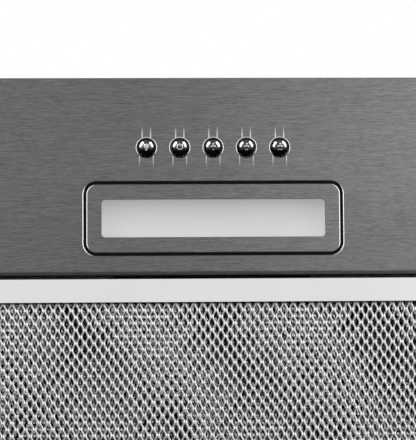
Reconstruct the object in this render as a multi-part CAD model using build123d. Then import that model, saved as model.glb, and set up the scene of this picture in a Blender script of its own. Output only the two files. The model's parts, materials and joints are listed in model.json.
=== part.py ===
from build123d import *
import os
from math import asin, cos, degrees, radians, sin

# A built-in range hood insert, in millimetres. +Z is up, -Y is the cook's side and X runs to
# the right. z = 0 is the underside of the cabinet floor, where the return flange of the fascia
# bears. The fascia hangs below it, the housing rises through the cut-out above it.

# ---- clearances ----
SLIDE_GAP = 0.3        # round pieces that move past each other
RUNNING_GAP = 0.04     # radial, shafts and pins in their bores
HOLE_GAP = 0.25        # radial, screws in their holes

# ---- fascia: one folded and pressed sheet ----
FASCIA_WIDTH = 520.0
FASCIA_LAP_SIDE = 16.0     # fascia outside the housing, left and right
FASCIA_LAP_FRONT = 14.0    # the same in front and behind
FASCIA_DEPTH = 286.0
FASCIA_SHEET = 0.8
RIM_HEIGHT = 10.0      # from the cabinet floor down to the visible face
RIM_CORNER = 4.0
FOLD_RADIUS = 1.6      # outside radius of every fold
EDGE_SLACK = 0.01      # allowed when edges are picked by their place
RETURN_GAP = 2.0       # between the return flange and the housing wall

# ---- filter opening in the fascia ----
OPENING_FROM_FRONT = 119.2
OPENING_BORDER = 22.3  # fascia left beside and behind the opening
OPENING_CORNER = 2.5
OPENING_FLANGE = 12.0  # height of the edge folded up round it

# ---- push buttons ----
BUTTONS = ["light", "off", "speed_1", "speed_2", "speed_3"]
BUTTON_PITCH = 20.0
BUTTON_FROM_FRONT = 42.4
BUTTON_TRAVEL = 3.5
BUTTON_HOLE = 11.6     # clear width of the ring
RING_WALL = 0.25
RING_BEAD = 0.6        # width of the rolled bead round each hole
CAP_DIAMETER = 10.0
CAP_PROUD = 3.8        # dome above the fascia face
CAP_RISE = 2.7         # dome above its own straight side
CAP_SKIRT = 4.2
PLUNGER_SIDE = 4.0
PLUNGER_COLLAR = 8.0
PLUNGER_COLLAR_THICKNESS = 1.5
SNAP_LUG = 0.8         # how far the lugs stand out past the guide
SNAP_LUG_HEIGHT = 1.6

# ---- switch ----
SWITCH_ROOM = 0.5      # left over a pressed plunger's collar
SWITCH_LENGTH = 112.0
SWITCH_DEPTH = 20.0
SWITCH_HEIGHT = 18.0
SWITCH_EAR = 8.0
SWITCH_EAR_THICKNESS = 4.0
SWITCH_BRACKET_SHEET = 1.0
SWITCH_FOOT = 10.0
SWITCH_CORNER = 2.0
TERMINAL_COUNT = 6
TERMINAL_PITCH = 16.0
TERMINAL_WIDTH = 6.3
TERMINAL_THICKNESS = 0.8
TERMINAL_HEIGHT = 8.0

# ---- lamp ----
LAMP_FROM_FRONT = 84.9
LAMP_WIDTH = 152.0
LAMP_DEPTH = 41.0
LAMP_CORNER = 6.0
LAMP_SEAT_GAP = 1.8    # groove between the bezel and the pressed seat
LAMP_SEAT_DEPTH = 1.5
LAMP_SEAT_ROUND = 0.6  # where the face turns down into the groove
LENS_WIDTH = 134.4
LENS_DEPTH = 23.0
LENS_CORNER = 2.4
LENS_RECESS = 0.3
LENS_GAP = 0.2
LAMP_BODY_HEIGHT = 16.5
LAMP_BODY_WALL = 1.0
LAMP_CUTOUT_GAP = 0.5
DIFFUSER_FLANGE = 2.3
DIFFUSER_THICKNESS = 1.4
BEZEL_SKIRT_WALL = 0.8
BEZEL_SKIRT_HEIGHT = 4.5
BEZEL_SKIRT_GAP = 0.2
BEZEL_ROUND = 0.6
LED_BOARD_THICKNESS = 1.2
LED_BOARD_MARGIN = 1.5
LED_BOSS_DROP = 2.0
LED_BOSS_RADIUS = 2.0
LED_COUNT = 12
LED_SIDE = 3.0
LED_THICKNESS = 0.8
CLIP_WIDTH = 12.0
CLIP_SHEET = 0.6
CLIP_RISE = 12.0
CLIP_SPREAD = 5.0

# ---- housing ----
HOUSING_WIDTH = FASCIA_WIDTH - 2 * FASCIA_LAP_SIDE
HOUSING_DEPTH = FASCIA_DEPTH - 2 * FASCIA_LAP_FRONT
HOUSING_TOP = 176.0
HOUSING_SHEET = 0.8
HOUSING_BEND = 3.0
FOOT_FLANGE = 10.0     # spot-welded under the return flange
END_FLANGE = 12.0
FOOT_CORNER_GAP = 1.2
BEAD_WIDTH = 12.0      # pressed stiffening beads
BEAD_HEIGHT = 1.8
BEAD_DRAFT = 35.0
TOP_BEAD_FROM_END = 88.0
TOP_BEAD_X = HOUSING_WIDTH / 2 - TOP_BEAD_FROM_END
TOP_BEAD_Y = 14.0
TOP_BEAD_MARGIN = 39.0
TOP_BEAD_LENGTH = HOUSING_DEPTH - 2 * TOP_BEAD_MARGIN
WALL_BEAD_MARGIN = 44.0
WALL_BEAD_LENGTH = HOUSING_WIDTH - 2 * WALL_BEAD_MARGIN
WALL_BEAD_Z = (66.0, 132.0)
END_BEAD_LENGTH = 104.0
END_BEAD_FROM_CORNER = 41.0
END_BEAD_Y = HOUSING_DEPTH / 2 - END_BEAD_FROM_CORNER

# ---- cabinet brackets ----
CABINET_FLOOR = 18.0   # thickness of the panel between the fascia and the bracket feet
BRACKET_SHEET = 2.0
BRACKET_LENGTH = 120.0
BRACKET_HEIGHT = 70.0
BRACKET_FOOT = 32.0
BRACKET_BEND = 3.0
BRACKET_HOLE_REACH = 22.0  # foot screws from the housing's end
BRACKET_HOLE_X = HOUSING_WIDTH / 2 + BRACKET_HOLE_REACH
BRACKET_HOLE_PITCH = 90.0
BRACKET_HOLE_RADIUS = 2.25
BRACKET_SLOT_PITCH = 80.0
BRACKET_SLOT_HEIGHT = 22.0
BRACKET_SCREW_Z = 58.0
BRACKET_SCREW_RADIUS = 2.5
NUT_ACROSS = 8.0
NUT_THICKNESS = 4.0

# ---- electrics cover ----
COVER_TOP = 40.0
COVER_SHEET = 0.8
COVER_FRONT_FLANGE = 10.0
COVER_LAP = 6.0        # how far it laps down the filter opening's flange
COVER_SCREW_PITCH = 200.0
COVER_SCREW_RADIUS = 1.75

# ---- junction box, gland and capacitor, hung from the housing top ----
JUNCTION_FROM_END = 59.0
JUNCTION_FROM_FRONT = 41.0
JUNCTION_X = JUNCTION_FROM_END - HOUSING_WIDTH / 2
JUNCTION_Y = JUNCTION_FROM_FRONT - HOUSING_DEPTH / 2
JUNCTION_WIDTH = 80.0
JUNCTION_DEPTH = 60.0
JUNCTION_HEIGHT = 36.0
JUNCTION_WALL = 2.0
JUNCTION_CORNER = 4.0
JUNCTION_LID = 2.0
JUNCTION_LID_CHAMFER = 0.6
JUNCTION_BOSS_RADIUS = 3.5
JUNCTION_BOSS_INSET = 4.8  # boss axis from the box's outside, so that it grows out of the wall
JUNCTION_SCREW_DEPTH = 7.0
GLAND_OFFSET = 19.0    # gland to one side of the box, terminals to the other
GLAND_X = JUNCTION_X + GLAND_OFFSET
GLAND_BORE = 4.2       # radius, for a round supply cord
GLAND_THREAD = 8.0     # radius
GLAND_FLANGE = 11.5
GLAND_FLANGE_HEIGHT = 3.0
GLAND_DOME_RADIUS = 9.5
GLAND_DOME_HEIGHT = 14.0
GLAND_THREAD_LENGTH = 12.0
GLAND_NUT_HEIGHT = 5.0
BLOCK_WIDTH = 32.0
BLOCK_DEPTH = 22.0
BLOCK_HEIGHT = 16.0
BLOCK_X = JUNCTION_X - GLAND_OFFSET
BLOCK_POLES = 3
BLOCK_HOLE_RADIUS = 2.2
CAPACITOR_RADIUS = 15.0
CAPACITOR_LENGTH = 52.0
CAPACITOR_ROUND = 1.5
CAPACITOR_FROM_END = 68.0
CAPACITOR_FROM_FRONT = 45.0
CAPACITOR_X = HOUSING_WIDTH / 2 - CAPACITOR_FROM_END
CAPACITOR_Y = CAPACITOR_FROM_FRONT - HOUSING_DEPTH / 2
CAPACITOR_CLIP_SHEET = 1.0
CAPACITOR_CLIP_WIDTH = 14.0
CAPACITOR_CLIP_FOOT = 12.0
DRIVER_FROM_END = 78.0
DRIVER_X = HOUSING_WIDTH / 2 - DRIVER_FROM_END
DRIVER_LENGTH = 92.0
DRIVER_DEPTH = 40.0
DRIVER_HEIGHT = 22.0
DRIVER_CORNER = 3.0
DRIVER_EAR = 8.0
DRIVER_EAR_THICKNESS = 2.5

# ---- blower: double-inlet drum in a sheet scroll, its axis along X ----
IMPELLER_SHARE = 60 / 258  # drum radius to housing depth
IMPELLER_RADIUS = IMPELLER_SHARE * HOUSING_DEPTH
BLADE_CHORD = 10.0     # radial height of the blades
BLADE_SHEET = 0.8
BLADE_COUNT = 36
BLADE_SWEEP = 6.5      # degrees the tip leads the root by
BLADE_BELLY = 1.0      # degrees the middle leads the root by
IMPELLER_HALF_WIDTH = 55.0
IMPELLER_RING = 1.4
IMPELLER_RING_HEIGHT = 6.0
IMPELLER_DISC = 1.6
HUB_RADIUS = 12.0
HUB_LENGTH = 18.0
SCROLL_GAP = 6.0       # drum to scroll at the cut-off
SCROLL_GROWTH = 9.0    # growth of the scroll in each quarter turn
SCROLL_HALF_WIDTH = 62.0
SCROLL_SHEET = 0.8
SCROLL_SIDE_LIP = 3.0
TONGUE_RADIUS = 4.0
BLOWER_TOP_GAP = 3.2   # from the tongue up to the housing top
BLOWER_FLANGE = 20.0
BLOWER_FLANGE_LENGTH = 84.0
INLET_RADIUS = IMPELLER_RADIUS - BLADE_CHORD
INLET_FLARE = 6.0
INLET_LIP_GAP = 1.0
MOTOR_RADIUS = 37.0
MOTOR_HUB_GAP = 2.0
MOTOR_NECK_RADIUS = 15.0
MOTOR_NECK = 6.0
MOTOR_SLOTS = 8
MOTOR_SLOT_WIDTH = 6.0
MOTOR_SLOT_DEPTH = 3.0
MOTOR_ROUND = 3.0      # front edge of the can
SHAFT_RADIUS = 4.0
SHAFT_END = 2.0
SHAFT_CHAMFER = 0.5
BEARING_RADIUS = 8.0
BEARING_LENGTH = 8.0
MOTOR_BORE = 5.0
SPIDER_SHEET = 2.0
SPIDER_DISC = 30.0
SPIDER_ARM = 14.0
SPIDER_REACH = 9.0
SPIDER_HOLE = 10.0
SPIDER_SCREWS = 22.0   # radius of the screws into the motor
SPIDER_SCREW_RADIUS = 2.0
SPIDER_ANGLES = (90, 210, 330)
MOTOR_SCREW_DEPTH = 8.0
SPIDER_FILLET = 4.0

# ---- duct collar and its two flaps ----
COLLAR_Y = 0.0
DUCT_RADIUS = 75.0
COLLAR_WALL = 2.0
COLLAR_HEIGHT = 42.0
COLLAR_LEAD_IN = 3.0
COLLAR_LEAD_IN_STEP = 1.0
COLLAR_FLANGE_RADIUS = 90.0
COLLAR_FLANGE = 2.5
COLLAR_SCREW_OUT = 14.0    # outside the blower's sides
COLLAR_SCREW_X = SCROLL_HALF_WIDTH + COLLAR_SCREW_OUT
COLLAR_SCREW_Y = 30.0
COLLAR_SCREW_RADIUS = 2.0
DUCT_HOLE_EDGE = 1.5   # how far the hole in the housing top is inside the collar
FLAP_AXIS_RISE = 10.0  # spindle above the housing top
FLAP_THICKNESS = 1.5
FLAP_EDGE_GAP = 1.0
FLAP_ROOT = 4.5        # from the spindle's axis to the straight edge of a flap
SPINDLE_RADIUS = 1.5
SPINDLE_BOSS = 4.0
SPINDLE_BOSS_LENGTH = 5.0
SPINDLE_END_WALL = 1.0
KNUCKLE_RADIUS = 3.2
KNUCKLE_LENGTH = 14.0
KNUCKLE_X = {"front": 50.0, "rear": 28.0}
LEDGE_WIDTH = 3.0
LEDGE_THICKNESS = 1.5

# ---- grease filter ----
FILTER_GAP = 1.7       # round the filter, in the opening
FILTER_HEIGHT = 9.0
FILTER_SHEET = 0.8
FILTER_RAIL = 14.0
FILTER_TOP_RAIL = 10.0
FILTER_CORNER = 1.5
MESH_OUTER = 1.0       # the flat expanded sheet on each face
PLEAT_PITCH = 16.8     # the folded inner mesh between them
PLEAT_SHEET = 0.6
PLEAT_CREST = 2.4
PIVOT_FROM_EDGE = 4.9  # filter's front edge back to the pivot
PIVOT_FROM_FACE = 3.4  # filter's visible face up to the pivot
PIVOT_RADIUS = 1.25
PIVOT_LENGTH = 4.0     # outside the filter
PIVOT_BLOCK_LENGTH = 12.0
PIVOT_BLOCK_DEPTH = 8.0
MESH_GAP = 0.3

# ---- filter latch ----
LATCH_CUP_WIDTH = 56.0
LATCH_CUP_DEPTH = 12.4
LATCH_POCKET_WIDTH = 36.0
LATCH_POCKET_DEPTH = 10.0
LATCH_POCKET_HEIGHT = 4.0
LATCH_TRAVEL = 4.5
LATCH_SLIDE_WIDTH = 39.0
LATCH_SLIDE_DEPTH = 5.0
LATCH_SLIDE_THICKNESS = 2.0
LATCH_TONGUE_WIDTH = 16.0
LATCH_ENGAGE = 3.0
LATCH_TAB_WIDTH = 24.0
LATCH_TAB_THICKNESS = 2.0
LATCH_TAB_HEIGHT = 3.6

# ---- screws ----
SCREW_HEAD_RATIO = 1.9
SCREW_HEAD_HEIGHT_RATIO = 1.1
SCREW_POINT = 2.0      # how far a screw comes out of the last sheet

# ---- places worked out from the sizes above ----
FACE_Z = -RIM_HEIGHT
INNER_Z = FACE_Z + FASCIA_SHEET
FRONT = -FASCIA_DEPTH / 2
REAR = FASCIA_DEPTH / 2
BUTTON_Y = FRONT + BUTTON_FROM_FRONT
LAMP_Y = FRONT + LAMP_FROM_FRONT
LAMP_SEAT_Z = FACE_Z + LAMP_SEAT_DEPTH
OPENING_FRONT = FRONT + OPENING_FROM_FRONT
OPENING_REAR = REAR - OPENING_BORDER
OPENING_WIDTH = FASCIA_WIDTH - 2 * OPENING_BORDER
OPENING_DEPTH = OPENING_REAR - OPENING_FRONT
OPENING_Y = (OPENING_FRONT + OPENING_REAR) / 2
OPENING_FLANGE_TOP = FACE_Z + OPENING_FLANGE
HOUSING_FOOT_Z = -FASCIA_SHEET - HOUSING_SHEET
HOUSING_CEILING = HOUSING_TOP - HOUSING_SHEET
HOUSING_X = HOUSING_WIDTH / 2
HOUSING_Y = HOUSING_DEPTH / 2
INSIDE_X = HOUSING_X - HOUSING_SHEET
INSIDE_Y = HOUSING_Y - HOUSING_SHEET
COLLAR_TOP = HOUSING_TOP + COLLAR_HEIGHT
FLAP_Z = HOUSING_TOP + FLAP_AXIS_RISE
FILTER_WIDTH = OPENING_WIDTH - 2 * FILTER_GAP
FILTER_DEPTH = OPENING_DEPTH - 2 * FILTER_GAP
FILTER_FRONT = OPENING_Y - FILTER_DEPTH / 2
FILTER_REAR = OPENING_Y + FILTER_DEPTH / 2
FILTER_TOP = FACE_Z + FILTER_HEIGHT
MESH_BOTTOM = FACE_Z + FILTER_SHEET
MESH_TOP = FILTER_TOP - FILTER_SHEET
PIVOT_Y = FILTER_FRONT + PIVOT_FROM_EDGE
PIVOT_Z = FACE_Z + PIVOT_FROM_FACE
LAMP_BORDER = LENS_GAP + DIFFUSER_FLANGE + BEZEL_SKIRT_WALL + BEZEL_SKIRT_GAP + LAMP_BODY_WALL
LAMP_BODY_WIDTH = LENS_WIDTH + 2 * LAMP_BORDER
LAMP_BODY_DEPTH = LENS_DEPTH + 2 * LAMP_BORDER
SCROLL_START = IMPELLER_RADIUS + SCROLL_GAP + SCROLL_GROWTH / 2
SCROLL_END = SCROLL_START + 2 * SCROLL_GROWTH
BLOWER_Y = COLLAR_Y + (SCROLL_END + TONGUE_RADIUS) / 2
BLOWER_Z = HOUSING_CEILING - BLOWER_TOP_GAP - TONGUE_RADIUS - SCROLL_GAP - IMPELLER_RADIUS


def block(x0, x1, y0, y1, z0, z1):
    """A box between two opposite corners."""
    middle = Pos((x0 + x1) / 2, (y0 + y1) / 2, (z0 + z1) / 2)
    return middle * Box(abs(x1 - x0), abs(y1 - y0), abs(z1 - z0))


def slab(width, depth, radius, z0, z1, y=0.0, x=0.0):
    """A level plate with rounded corners, from z0 up to z1, centred on x and y."""
    return Pos(x, y, z0) * extrude(RectangleRounded(width, depth, radius), z1 - z0)


def rod(radius, start, end):
    """A round bar from one point to another."""
    start, end = Vector(*start), Vector(*end)
    plane = Plane(origin=start, z_dir=end - start)
    return plane * extrude(Circle(radius), (end - start).length)


def tube(inner, outer, start, end):
    """A round tube from one point to another."""
    return rod(outer, start, end) - rod(inner, start, end)


def group(solids):
    """Like pieces kept apart in one node."""
    return Compound(children=[solid for piece in solids for solid in piece.solids()])


def crown(radius, base, tip):
    """The profile of a spherical crown, from its rim at base to its tip on the axis."""
    rise = abs(tip - base)
    sphere = (radius ** 2 + rise ** 2) / (2 * rise)
    middle = asin(radius / sphere) / 2
    depth = sphere * (1 - cos(middle))
    towards = 1 if base > tip else -1
    return ThreePointArc((radius, base), (sphere * sin(middle), tip + towards * depth), (0, tip))


def turned(outline, curve, start, end):
    """A solid of revolution about Z, from two parts of its profile and its stretch of axis."""
    return revolve(Plane.XZ * make_face(outline + curve + Line(start, end)), Axis.Z)


def pan_screw(radius, length, head, into):
    """A pan-head screw: its head's underside at head, its shank pointing along into."""
    head_radius, head_height = radius * SCREW_HEAD_RATIO, radius * SCREW_HEAD_HEIGHT_RATIO
    rim = -head_height / 3
    outline = Polyline((0, length), (radius, length), (radius, 0), (head_radius, 0), (head_radius, rim))
    screw = turned(outline, crown(head_radius, rim, -head_height), (0, -head_height), (0, length))
    return Plane(origin=head, z_dir=into) * screw


def rounded_box(x0, x1, y0, y1, z0, z1, radius):
    """A box whose two top edges along X are rounded."""
    solid = block(x0, x1, y0, y1, z0, z1)
    return fillet(solid.edges().filter_by(Axis.X).group_by(Axis.Z)[-1], radius)


def emboss(sheet, plane, length):
    """Presses one long stiffening bead out of a housing sheet, along the plane's x direction."""
    pad = extrude(SlotOverall(length, BEAD_WIDTH), BEAD_HEIGHT, taper=BEAD_DRAFT)
    return sheet + plane * pad - plane.offset(-HOUSING_SHEET) * pad


def on_both_sides(right):
    """A right-hand piece and its mirror image on the left."""
    return [right, mirror(right, Plane.YZ)]


# ---- fascia ----


def button_places():
    """The centre of each button hole along X, from left to right."""
    first = -BUTTON_PITCH * (len(BUTTONS) - 1) / 2
    return [first + BUTTON_PITCH * index for index in range(len(BUTTONS))]


def fascia_tray():
    """The folded tray: face, rim and the return flange that bears on the cabinet floor."""
    outer = slab(FASCIA_WIDTH, FASCIA_DEPTH, RIM_CORNER, FACE_Z, 0)
    outer = fillet(outer.edges().group_by(Axis.Z)[0], FOLD_RADIUS)
    inner = slab(
        FASCIA_WIDTH - 2 * FASCIA_SHEET, FASCIA_DEPTH - 2 * FASCIA_SHEET,
        RIM_CORNER - FASCIA_SHEET, INNER_Z, -FASCIA_SHEET,
    )
    inner = fillet(inner.edges().group_by(Axis.Z)[0], FOLD_RADIUS - FASCIA_SHEET)
    mouth = slab(
        HOUSING_WIDTH + 2 * RETURN_GAP, HOUSING_DEPTH + 2 * RETURN_GAP, RIM_CORNER, INNER_Z, 0
    )
    return outer - inner - mouth


def face_edges(tray, width, depth, y):
    """The edges on the face that run round an opening of this size."""
    across, along = width / 2 + EDGE_SLACK, depth / 2 + EDGE_SLACK
    return [
        edge for edge in tray.edges().group_by(Axis.Z)[0]
        if abs(edge.center().X) <= across and abs(edge.center().Y - y) <= along
    ]


def lamp_seat(tray):
    """Presses the lamp's seat into the face and cuts the hole for the lamp body."""
    width, depth = LAMP_WIDTH + 2 * LAMP_SEAT_GAP, LAMP_DEPTH + 2 * LAMP_SEAT_GAP
    corner = LAMP_CORNER + LAMP_SEAT_GAP
    pan = slab(
        width + 2 * FASCIA_SHEET, depth + 2 * FASCIA_SHEET, corner + FASCIA_SHEET,
        FACE_Z, LAMP_SEAT_Z + FASCIA_SHEET, LAMP_Y,
    )
    hollow = slab(width, depth, corner, FACE_Z, LAMP_SEAT_Z, LAMP_Y)
    hole = slab(
        LAMP_BODY_WIDTH + 2 * LAMP_CUTOUT_GAP, LAMP_BODY_DEPTH + 2 * LAMP_CUTOUT_GAP, 2 * LAMP_CUTOUT_GAP,
        FACE_Z, LAMP_SEAT_Z + FASCIA_SHEET, LAMP_Y,
    )
    tray = tray + pan - hollow
    return fillet(face_edges(tray, width, depth, LAMP_Y), LAMP_SEAT_ROUND) - hole


def filter_opening(tray):
    """Cuts the filter opening and folds its edge up into the hood."""
    edge = slab(
        OPENING_WIDTH + 2 * FASCIA_SHEET, OPENING_DEPTH + 2 * FASCIA_SHEET,
        OPENING_CORNER + FASCIA_SHEET, INNER_Z, OPENING_FLANGE_TOP, OPENING_Y,
    )
    mouth = slab(
        OPENING_WIDTH, OPENING_DEPTH, OPENING_CORNER, FACE_Z, OPENING_FLANGE_TOP, OPENING_Y
    )
    tray = tray + edge - mouth
    return fillet(face_edges(tray, OPENING_WIDTH, OPENING_DEPTH, OPENING_Y), FOLD_RADIUS)


def fascia():
    """The whole visible plate."""
    tray = lamp_seat(filter_opening(fascia_tray()))
    for x in button_places():
        tray -= rod(BUTTON_HOLE / 2 + RING_WALL, (x, BUTTON_Y, FACE_Z), (x, BUTTON_Y, INNER_Z))
    pivot_hole = PIVOT_RADIUS + RUNNING_GAP
    for side in (-1, 1):
        start = side * OPENING_WIDTH / 2
        tray -= rod(
            pivot_hole, (start, PIVOT_Y, PIVOT_Z), (start + side * FASCIA_SHEET, PIVOT_Y, PIVOT_Z)
        )
    for x in cover_screw_places():
        start = (x, OPENING_FRONT - FASCIA_SHEET, cover_screw_z())
        tray -= rod(COVER_SCREW_RADIUS, start, (x, OPENING_FRONT, cover_screw_z()))
    half = LATCH_TONGUE_WIDTH / 2 + 2 * SLIDE_GAP
    low, high = latch_levels()
    tray -= block(
        -half, half, OPENING_REAR, OPENING_REAR + FASCIA_SHEET, low - 2 * SLIDE_GAP, high + 2 * SLIDE_GAP
    )
    return tray


# ---- buttons and switch ----


def button_ring(x):
    """The turned ring that lines one button hole, with a rolled bead on the face."""
    inside = BUTTON_HOLE / 2
    outside = inside + RING_WALL
    profile = Polyline(
        (inside, INNER_Z + RING_WALL), (outside, INNER_Z + RING_WALL), (outside, FACE_Z),
        (outside + RING_BEAD - RING_WALL, FACE_Z),
    )
    bead = ThreePointArc(
        (outside + RING_BEAD - RING_WALL, FACE_Z), (inside + RING_BEAD / 2, FACE_Z - RING_BEAD / 2),
        (inside, FACE_Z),
    )
    side = Line((inside, FACE_Z), (inside, INNER_Z + RING_WALL))
    ring = revolve(Plane.XZ * make_face(profile + bead + side), Axis.Z)
    return Pos(x, BUTTON_Y, 0) * ring


def button_cap(x):
    """A domed cap with a straight skirt, its crown pointing down."""
    radius = CAP_DIAMETER / 2
    tip, shoulder = FACE_Z - CAP_PROUD, FACE_Z - CAP_PROUD + CAP_RISE
    side = Polyline((0, cap_top()), (radius, cap_top()), (radius, shoulder))
    cap = turned(side, crown(radius, shoulder, tip), (0, tip), (0, cap_top()))
    return Pos(x, BUTTON_Y, 0) * cap


def cap_top():
    """The level of a cap's flat back, where its plunger begins."""
    return FACE_Z - CAP_PROUD + CAP_RISE + CAP_SKIRT


def switch_floor():
    """The level of the switch block's underside."""
    return cap_top() + PLUNGER_COLLAR_THICKNESS + BUTTON_TRAVEL + SWITCH_ROOM + SWITCH_BRACKET_SHEET


def plunger(x):
    """A square plunger: collar behind the cap, stem through the switch, lugs that stop it."""
    low, floor = cap_top(), switch_floor()
    roof = floor + SWITCH_HEIGHT
    half = PLUNGER_SIDE / 2
    collar = rod(PLUNGER_COLLAR / 2, (x, BUTTON_Y, low), (x, BUTTON_Y, low + PLUNGER_COLLAR_THICKNESS))
    lug_z = roof + SLIDE_GAP
    stem = block(
        x - half, x + half, BUTTON_Y - half, BUTTON_Y + half, low, lug_z + SNAP_LUG_HEIGHT
    )
    lug = half + SNAP_LUG
    lugs = block(
        x - lug, x + lug, BUTTON_Y - half, BUTTON_Y + half, lug_z, lug_z + SNAP_LUG_HEIGHT
    )
    return collar + stem + lugs


def switch_block():
    """The moulded switch body with a square guide for each plunger and an ear at each end."""
    floor = switch_floor()
    body = slab(SWITCH_LENGTH, SWITCH_DEPTH, SWITCH_CORNER, floor, floor + SWITCH_HEIGHT, BUTTON_Y)
    ears = slab(
        SWITCH_LENGTH + 2 * SWITCH_EAR, SWITCH_DEPTH, SWITCH_CORNER,
        floor, floor + SWITCH_EAR_THICKNESS, BUTTON_Y,
    )
    body += ears
    half = PLUNGER_SIDE / 2 + SLIDE_GAP
    for x in button_places():
        body -= block(
            x - half, x + half, BUTTON_Y - half, BUTTON_Y + half, floor, floor + SWITCH_HEIGHT
        )
    for x in switch_screw_places():
        body -= rod(
            COVER_SCREW_RADIUS + HOLE_GAP,
            (x, BUTTON_Y, floor), (x, BUTTON_Y, floor + SWITCH_EAR_THICKNESS),
        )
    return body


def switch_screw_places():
    """The screws through the switch block's ears, along X."""
    reach = (SWITCH_LENGTH + SWITCH_EAR) / 2
    return [-reach, reach]


def switch_bracket():
    """A bridge of folded sheet, welded to the fascia by its feet, that carries the switch."""
    top = switch_floor()
    sheet = SWITCH_BRACKET_SHEET
    half = SWITCH_LENGTH / 2 + SWITCH_EAR + sheet + SLIDE_GAP
    y0, y1 = BUTTON_Y - SWITCH_DEPTH / 2, BUTTON_Y + SWITCH_DEPTH / 2
    deck = block(-half, half, y0, y1, top - sheet, top)
    for side in (-1, 1):
        deck += block(side * (half - sheet), side * half, y0, y1, INNER_Z, top)
        deck += block(side * (half - sheet), side * (half + SWITCH_FOOT), y0, y1, INNER_Z, INNER_Z + sheet)
    for x in button_places():
        deck -= rod(PLUNGER_COLLAR / 2 + SLIDE_GAP, (x, BUTTON_Y, top - sheet), (x, BUTTON_Y, top))
    for x in switch_screw_places():
        deck -= rod(COVER_SCREW_RADIUS, (x, BUTTON_Y, top - sheet), (x, BUTTON_Y, top))
    return deck


def switch_screws():
    """The two screws that hold the switch to its bracket."""
    head_z = switch_floor() + SWITCH_EAR_THICKNESS
    length = SWITCH_EAR_THICKNESS + SWITCH_BRACKET_SHEET + SCREW_POINT
    return group(
        pan_screw(COVER_SCREW_RADIUS, length, (x, BUTTON_Y, head_z), (0, 0, -1))
        for x in switch_screw_places()
    )


def switch_terminals():
    """The row of spade terminals on top of the switch."""
    roof = switch_floor() + SWITCH_HEIGHT
    y = BUTTON_Y + SWITCH_DEPTH / 2 - 2 * TERMINAL_THICKNESS
    first = -TERMINAL_PITCH * (TERMINAL_COUNT - 1) / 2
    half = TERMINAL_WIDTH / 2
    return group(
        block(x - half, x + half, y, y + TERMINAL_THICKNESS, roof, roof + TERMINAL_HEIGHT)
        for x in [first + TERMINAL_PITCH * index for index in range(TERMINAL_COUNT)]
    )


# ---- lamp ----


def lamp_bezel():
    """The frame round the lens, flush with the fascia, with a skirt round the diffuser."""
    plate = slab(LAMP_WIDTH, LAMP_DEPTH, LAMP_CORNER, FACE_Z, LAMP_SEAT_Z, LAMP_Y)
    plate = fillet(plate.edges().group_by(Axis.Z)[0], BEZEL_ROUND)
    gap = LENS_GAP + DIFFUSER_FLANGE
    inside = (LENS_WIDTH + 2 * gap, LENS_DEPTH + 2 * gap)
    skirt_top = LAMP_SEAT_Z + BEZEL_SKIRT_HEIGHT
    wall = 2 * BEZEL_SKIRT_WALL
    skirt = slab(inside[0] + wall, inside[1] + wall, LENS_CORNER, LAMP_SEAT_Z, skirt_top, LAMP_Y)
    skirt -= slab(inside[0], inside[1], LENS_CORNER - BEZEL_SKIRT_WALL, LAMP_SEAT_Z, skirt_top, LAMP_Y)
    window = slab(LENS_WIDTH, LENS_DEPTH, LENS_CORNER, FACE_Z, LAMP_SEAT_Z, LAMP_Y)
    return plate + skirt - window


def lamp_diffuser():
    """The opal lens: a window that fills the bezel and a flange behind it."""
    window = slab(
        LENS_WIDTH - 2 * LENS_GAP, LENS_DEPTH - 2 * LENS_GAP, LENS_CORNER - LENS_GAP,
        FACE_Z + LENS_RECESS, LAMP_SEAT_Z, LAMP_Y,
    )
    flange = slab(
        LENS_WIDTH + 2 * DIFFUSER_FLANGE, LENS_DEPTH + 2 * DIFFUSER_FLANGE, LENS_CORNER - BEZEL_SKIRT_WALL,
        LAMP_SEAT_Z, LAMP_SEAT_Z + DIFFUSER_THICKNESS, LAMP_Y,
    )
    return window + flange


def lamp_housing():
    """The deep body behind the lamp, closed on top, with four bosses for the LED board."""
    roof = LAMP_SEAT_Z + LAMP_BODY_HEIGHT
    ceiling = roof - LAMP_BODY_WALL
    body = slab(LAMP_BODY_WIDTH, LAMP_BODY_DEPTH, LAMP_BODY_WALL, LAMP_SEAT_Z, roof, LAMP_Y)
    body -= block(
        -LAMP_BODY_WIDTH / 2 + LAMP_BODY_WALL, LAMP_BODY_WIDTH / 2 - LAMP_BODY_WALL,
        LAMP_Y - LAMP_BODY_DEPTH / 2 + LAMP_BODY_WALL, LAMP_Y + LAMP_BODY_DEPTH / 2 - LAMP_BODY_WALL,
        LAMP_SEAT_Z, ceiling,
    )
    reach_x = LAMP_BODY_WIDTH / 2 - 4 * LED_BOSS_RADIUS
    reach_y = LAMP_BODY_DEPTH / 2 - 3 * LED_BOSS_RADIUS
    for x in (-reach_x, reach_x):
        for y in (LAMP_Y - reach_y, LAMP_Y + reach_y):
            body += rod(LED_BOSS_RADIUS, (x, y, ceiling - LED_BOSS_DROP), (x, y, ceiling))
    return body


def led_board_top():
    """The level of the LED board's back, against the bosses."""
    return LAMP_SEAT_Z + LAMP_BODY_HEIGHT - LAMP_BODY_WALL - LED_BOSS_DROP


def led_board():
    """The board with a row of light-emitting chips on its underside."""
    margin = LAMP_BODY_WALL + LED_BOARD_MARGIN
    top = led_board_top()
    low = top - LED_BOARD_THICKNESS
    board = slab(
        LAMP_BODY_WIDTH - 2 * margin, LAMP_BODY_DEPTH - 2 * margin, LED_BOARD_THICKNESS, low, top, LAMP_Y
    )
    pitch = LENS_WIDTH / LED_COUNT
    half = LED_SIDE / 2
    for index in range(LED_COUNT):
        x = pitch * (index - (LED_COUNT - 1) / 2)
        board += block(x - half, x + half, LAMP_Y - half, LAMP_Y + half, low - LED_THICKNESS, low)
    return board


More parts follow.
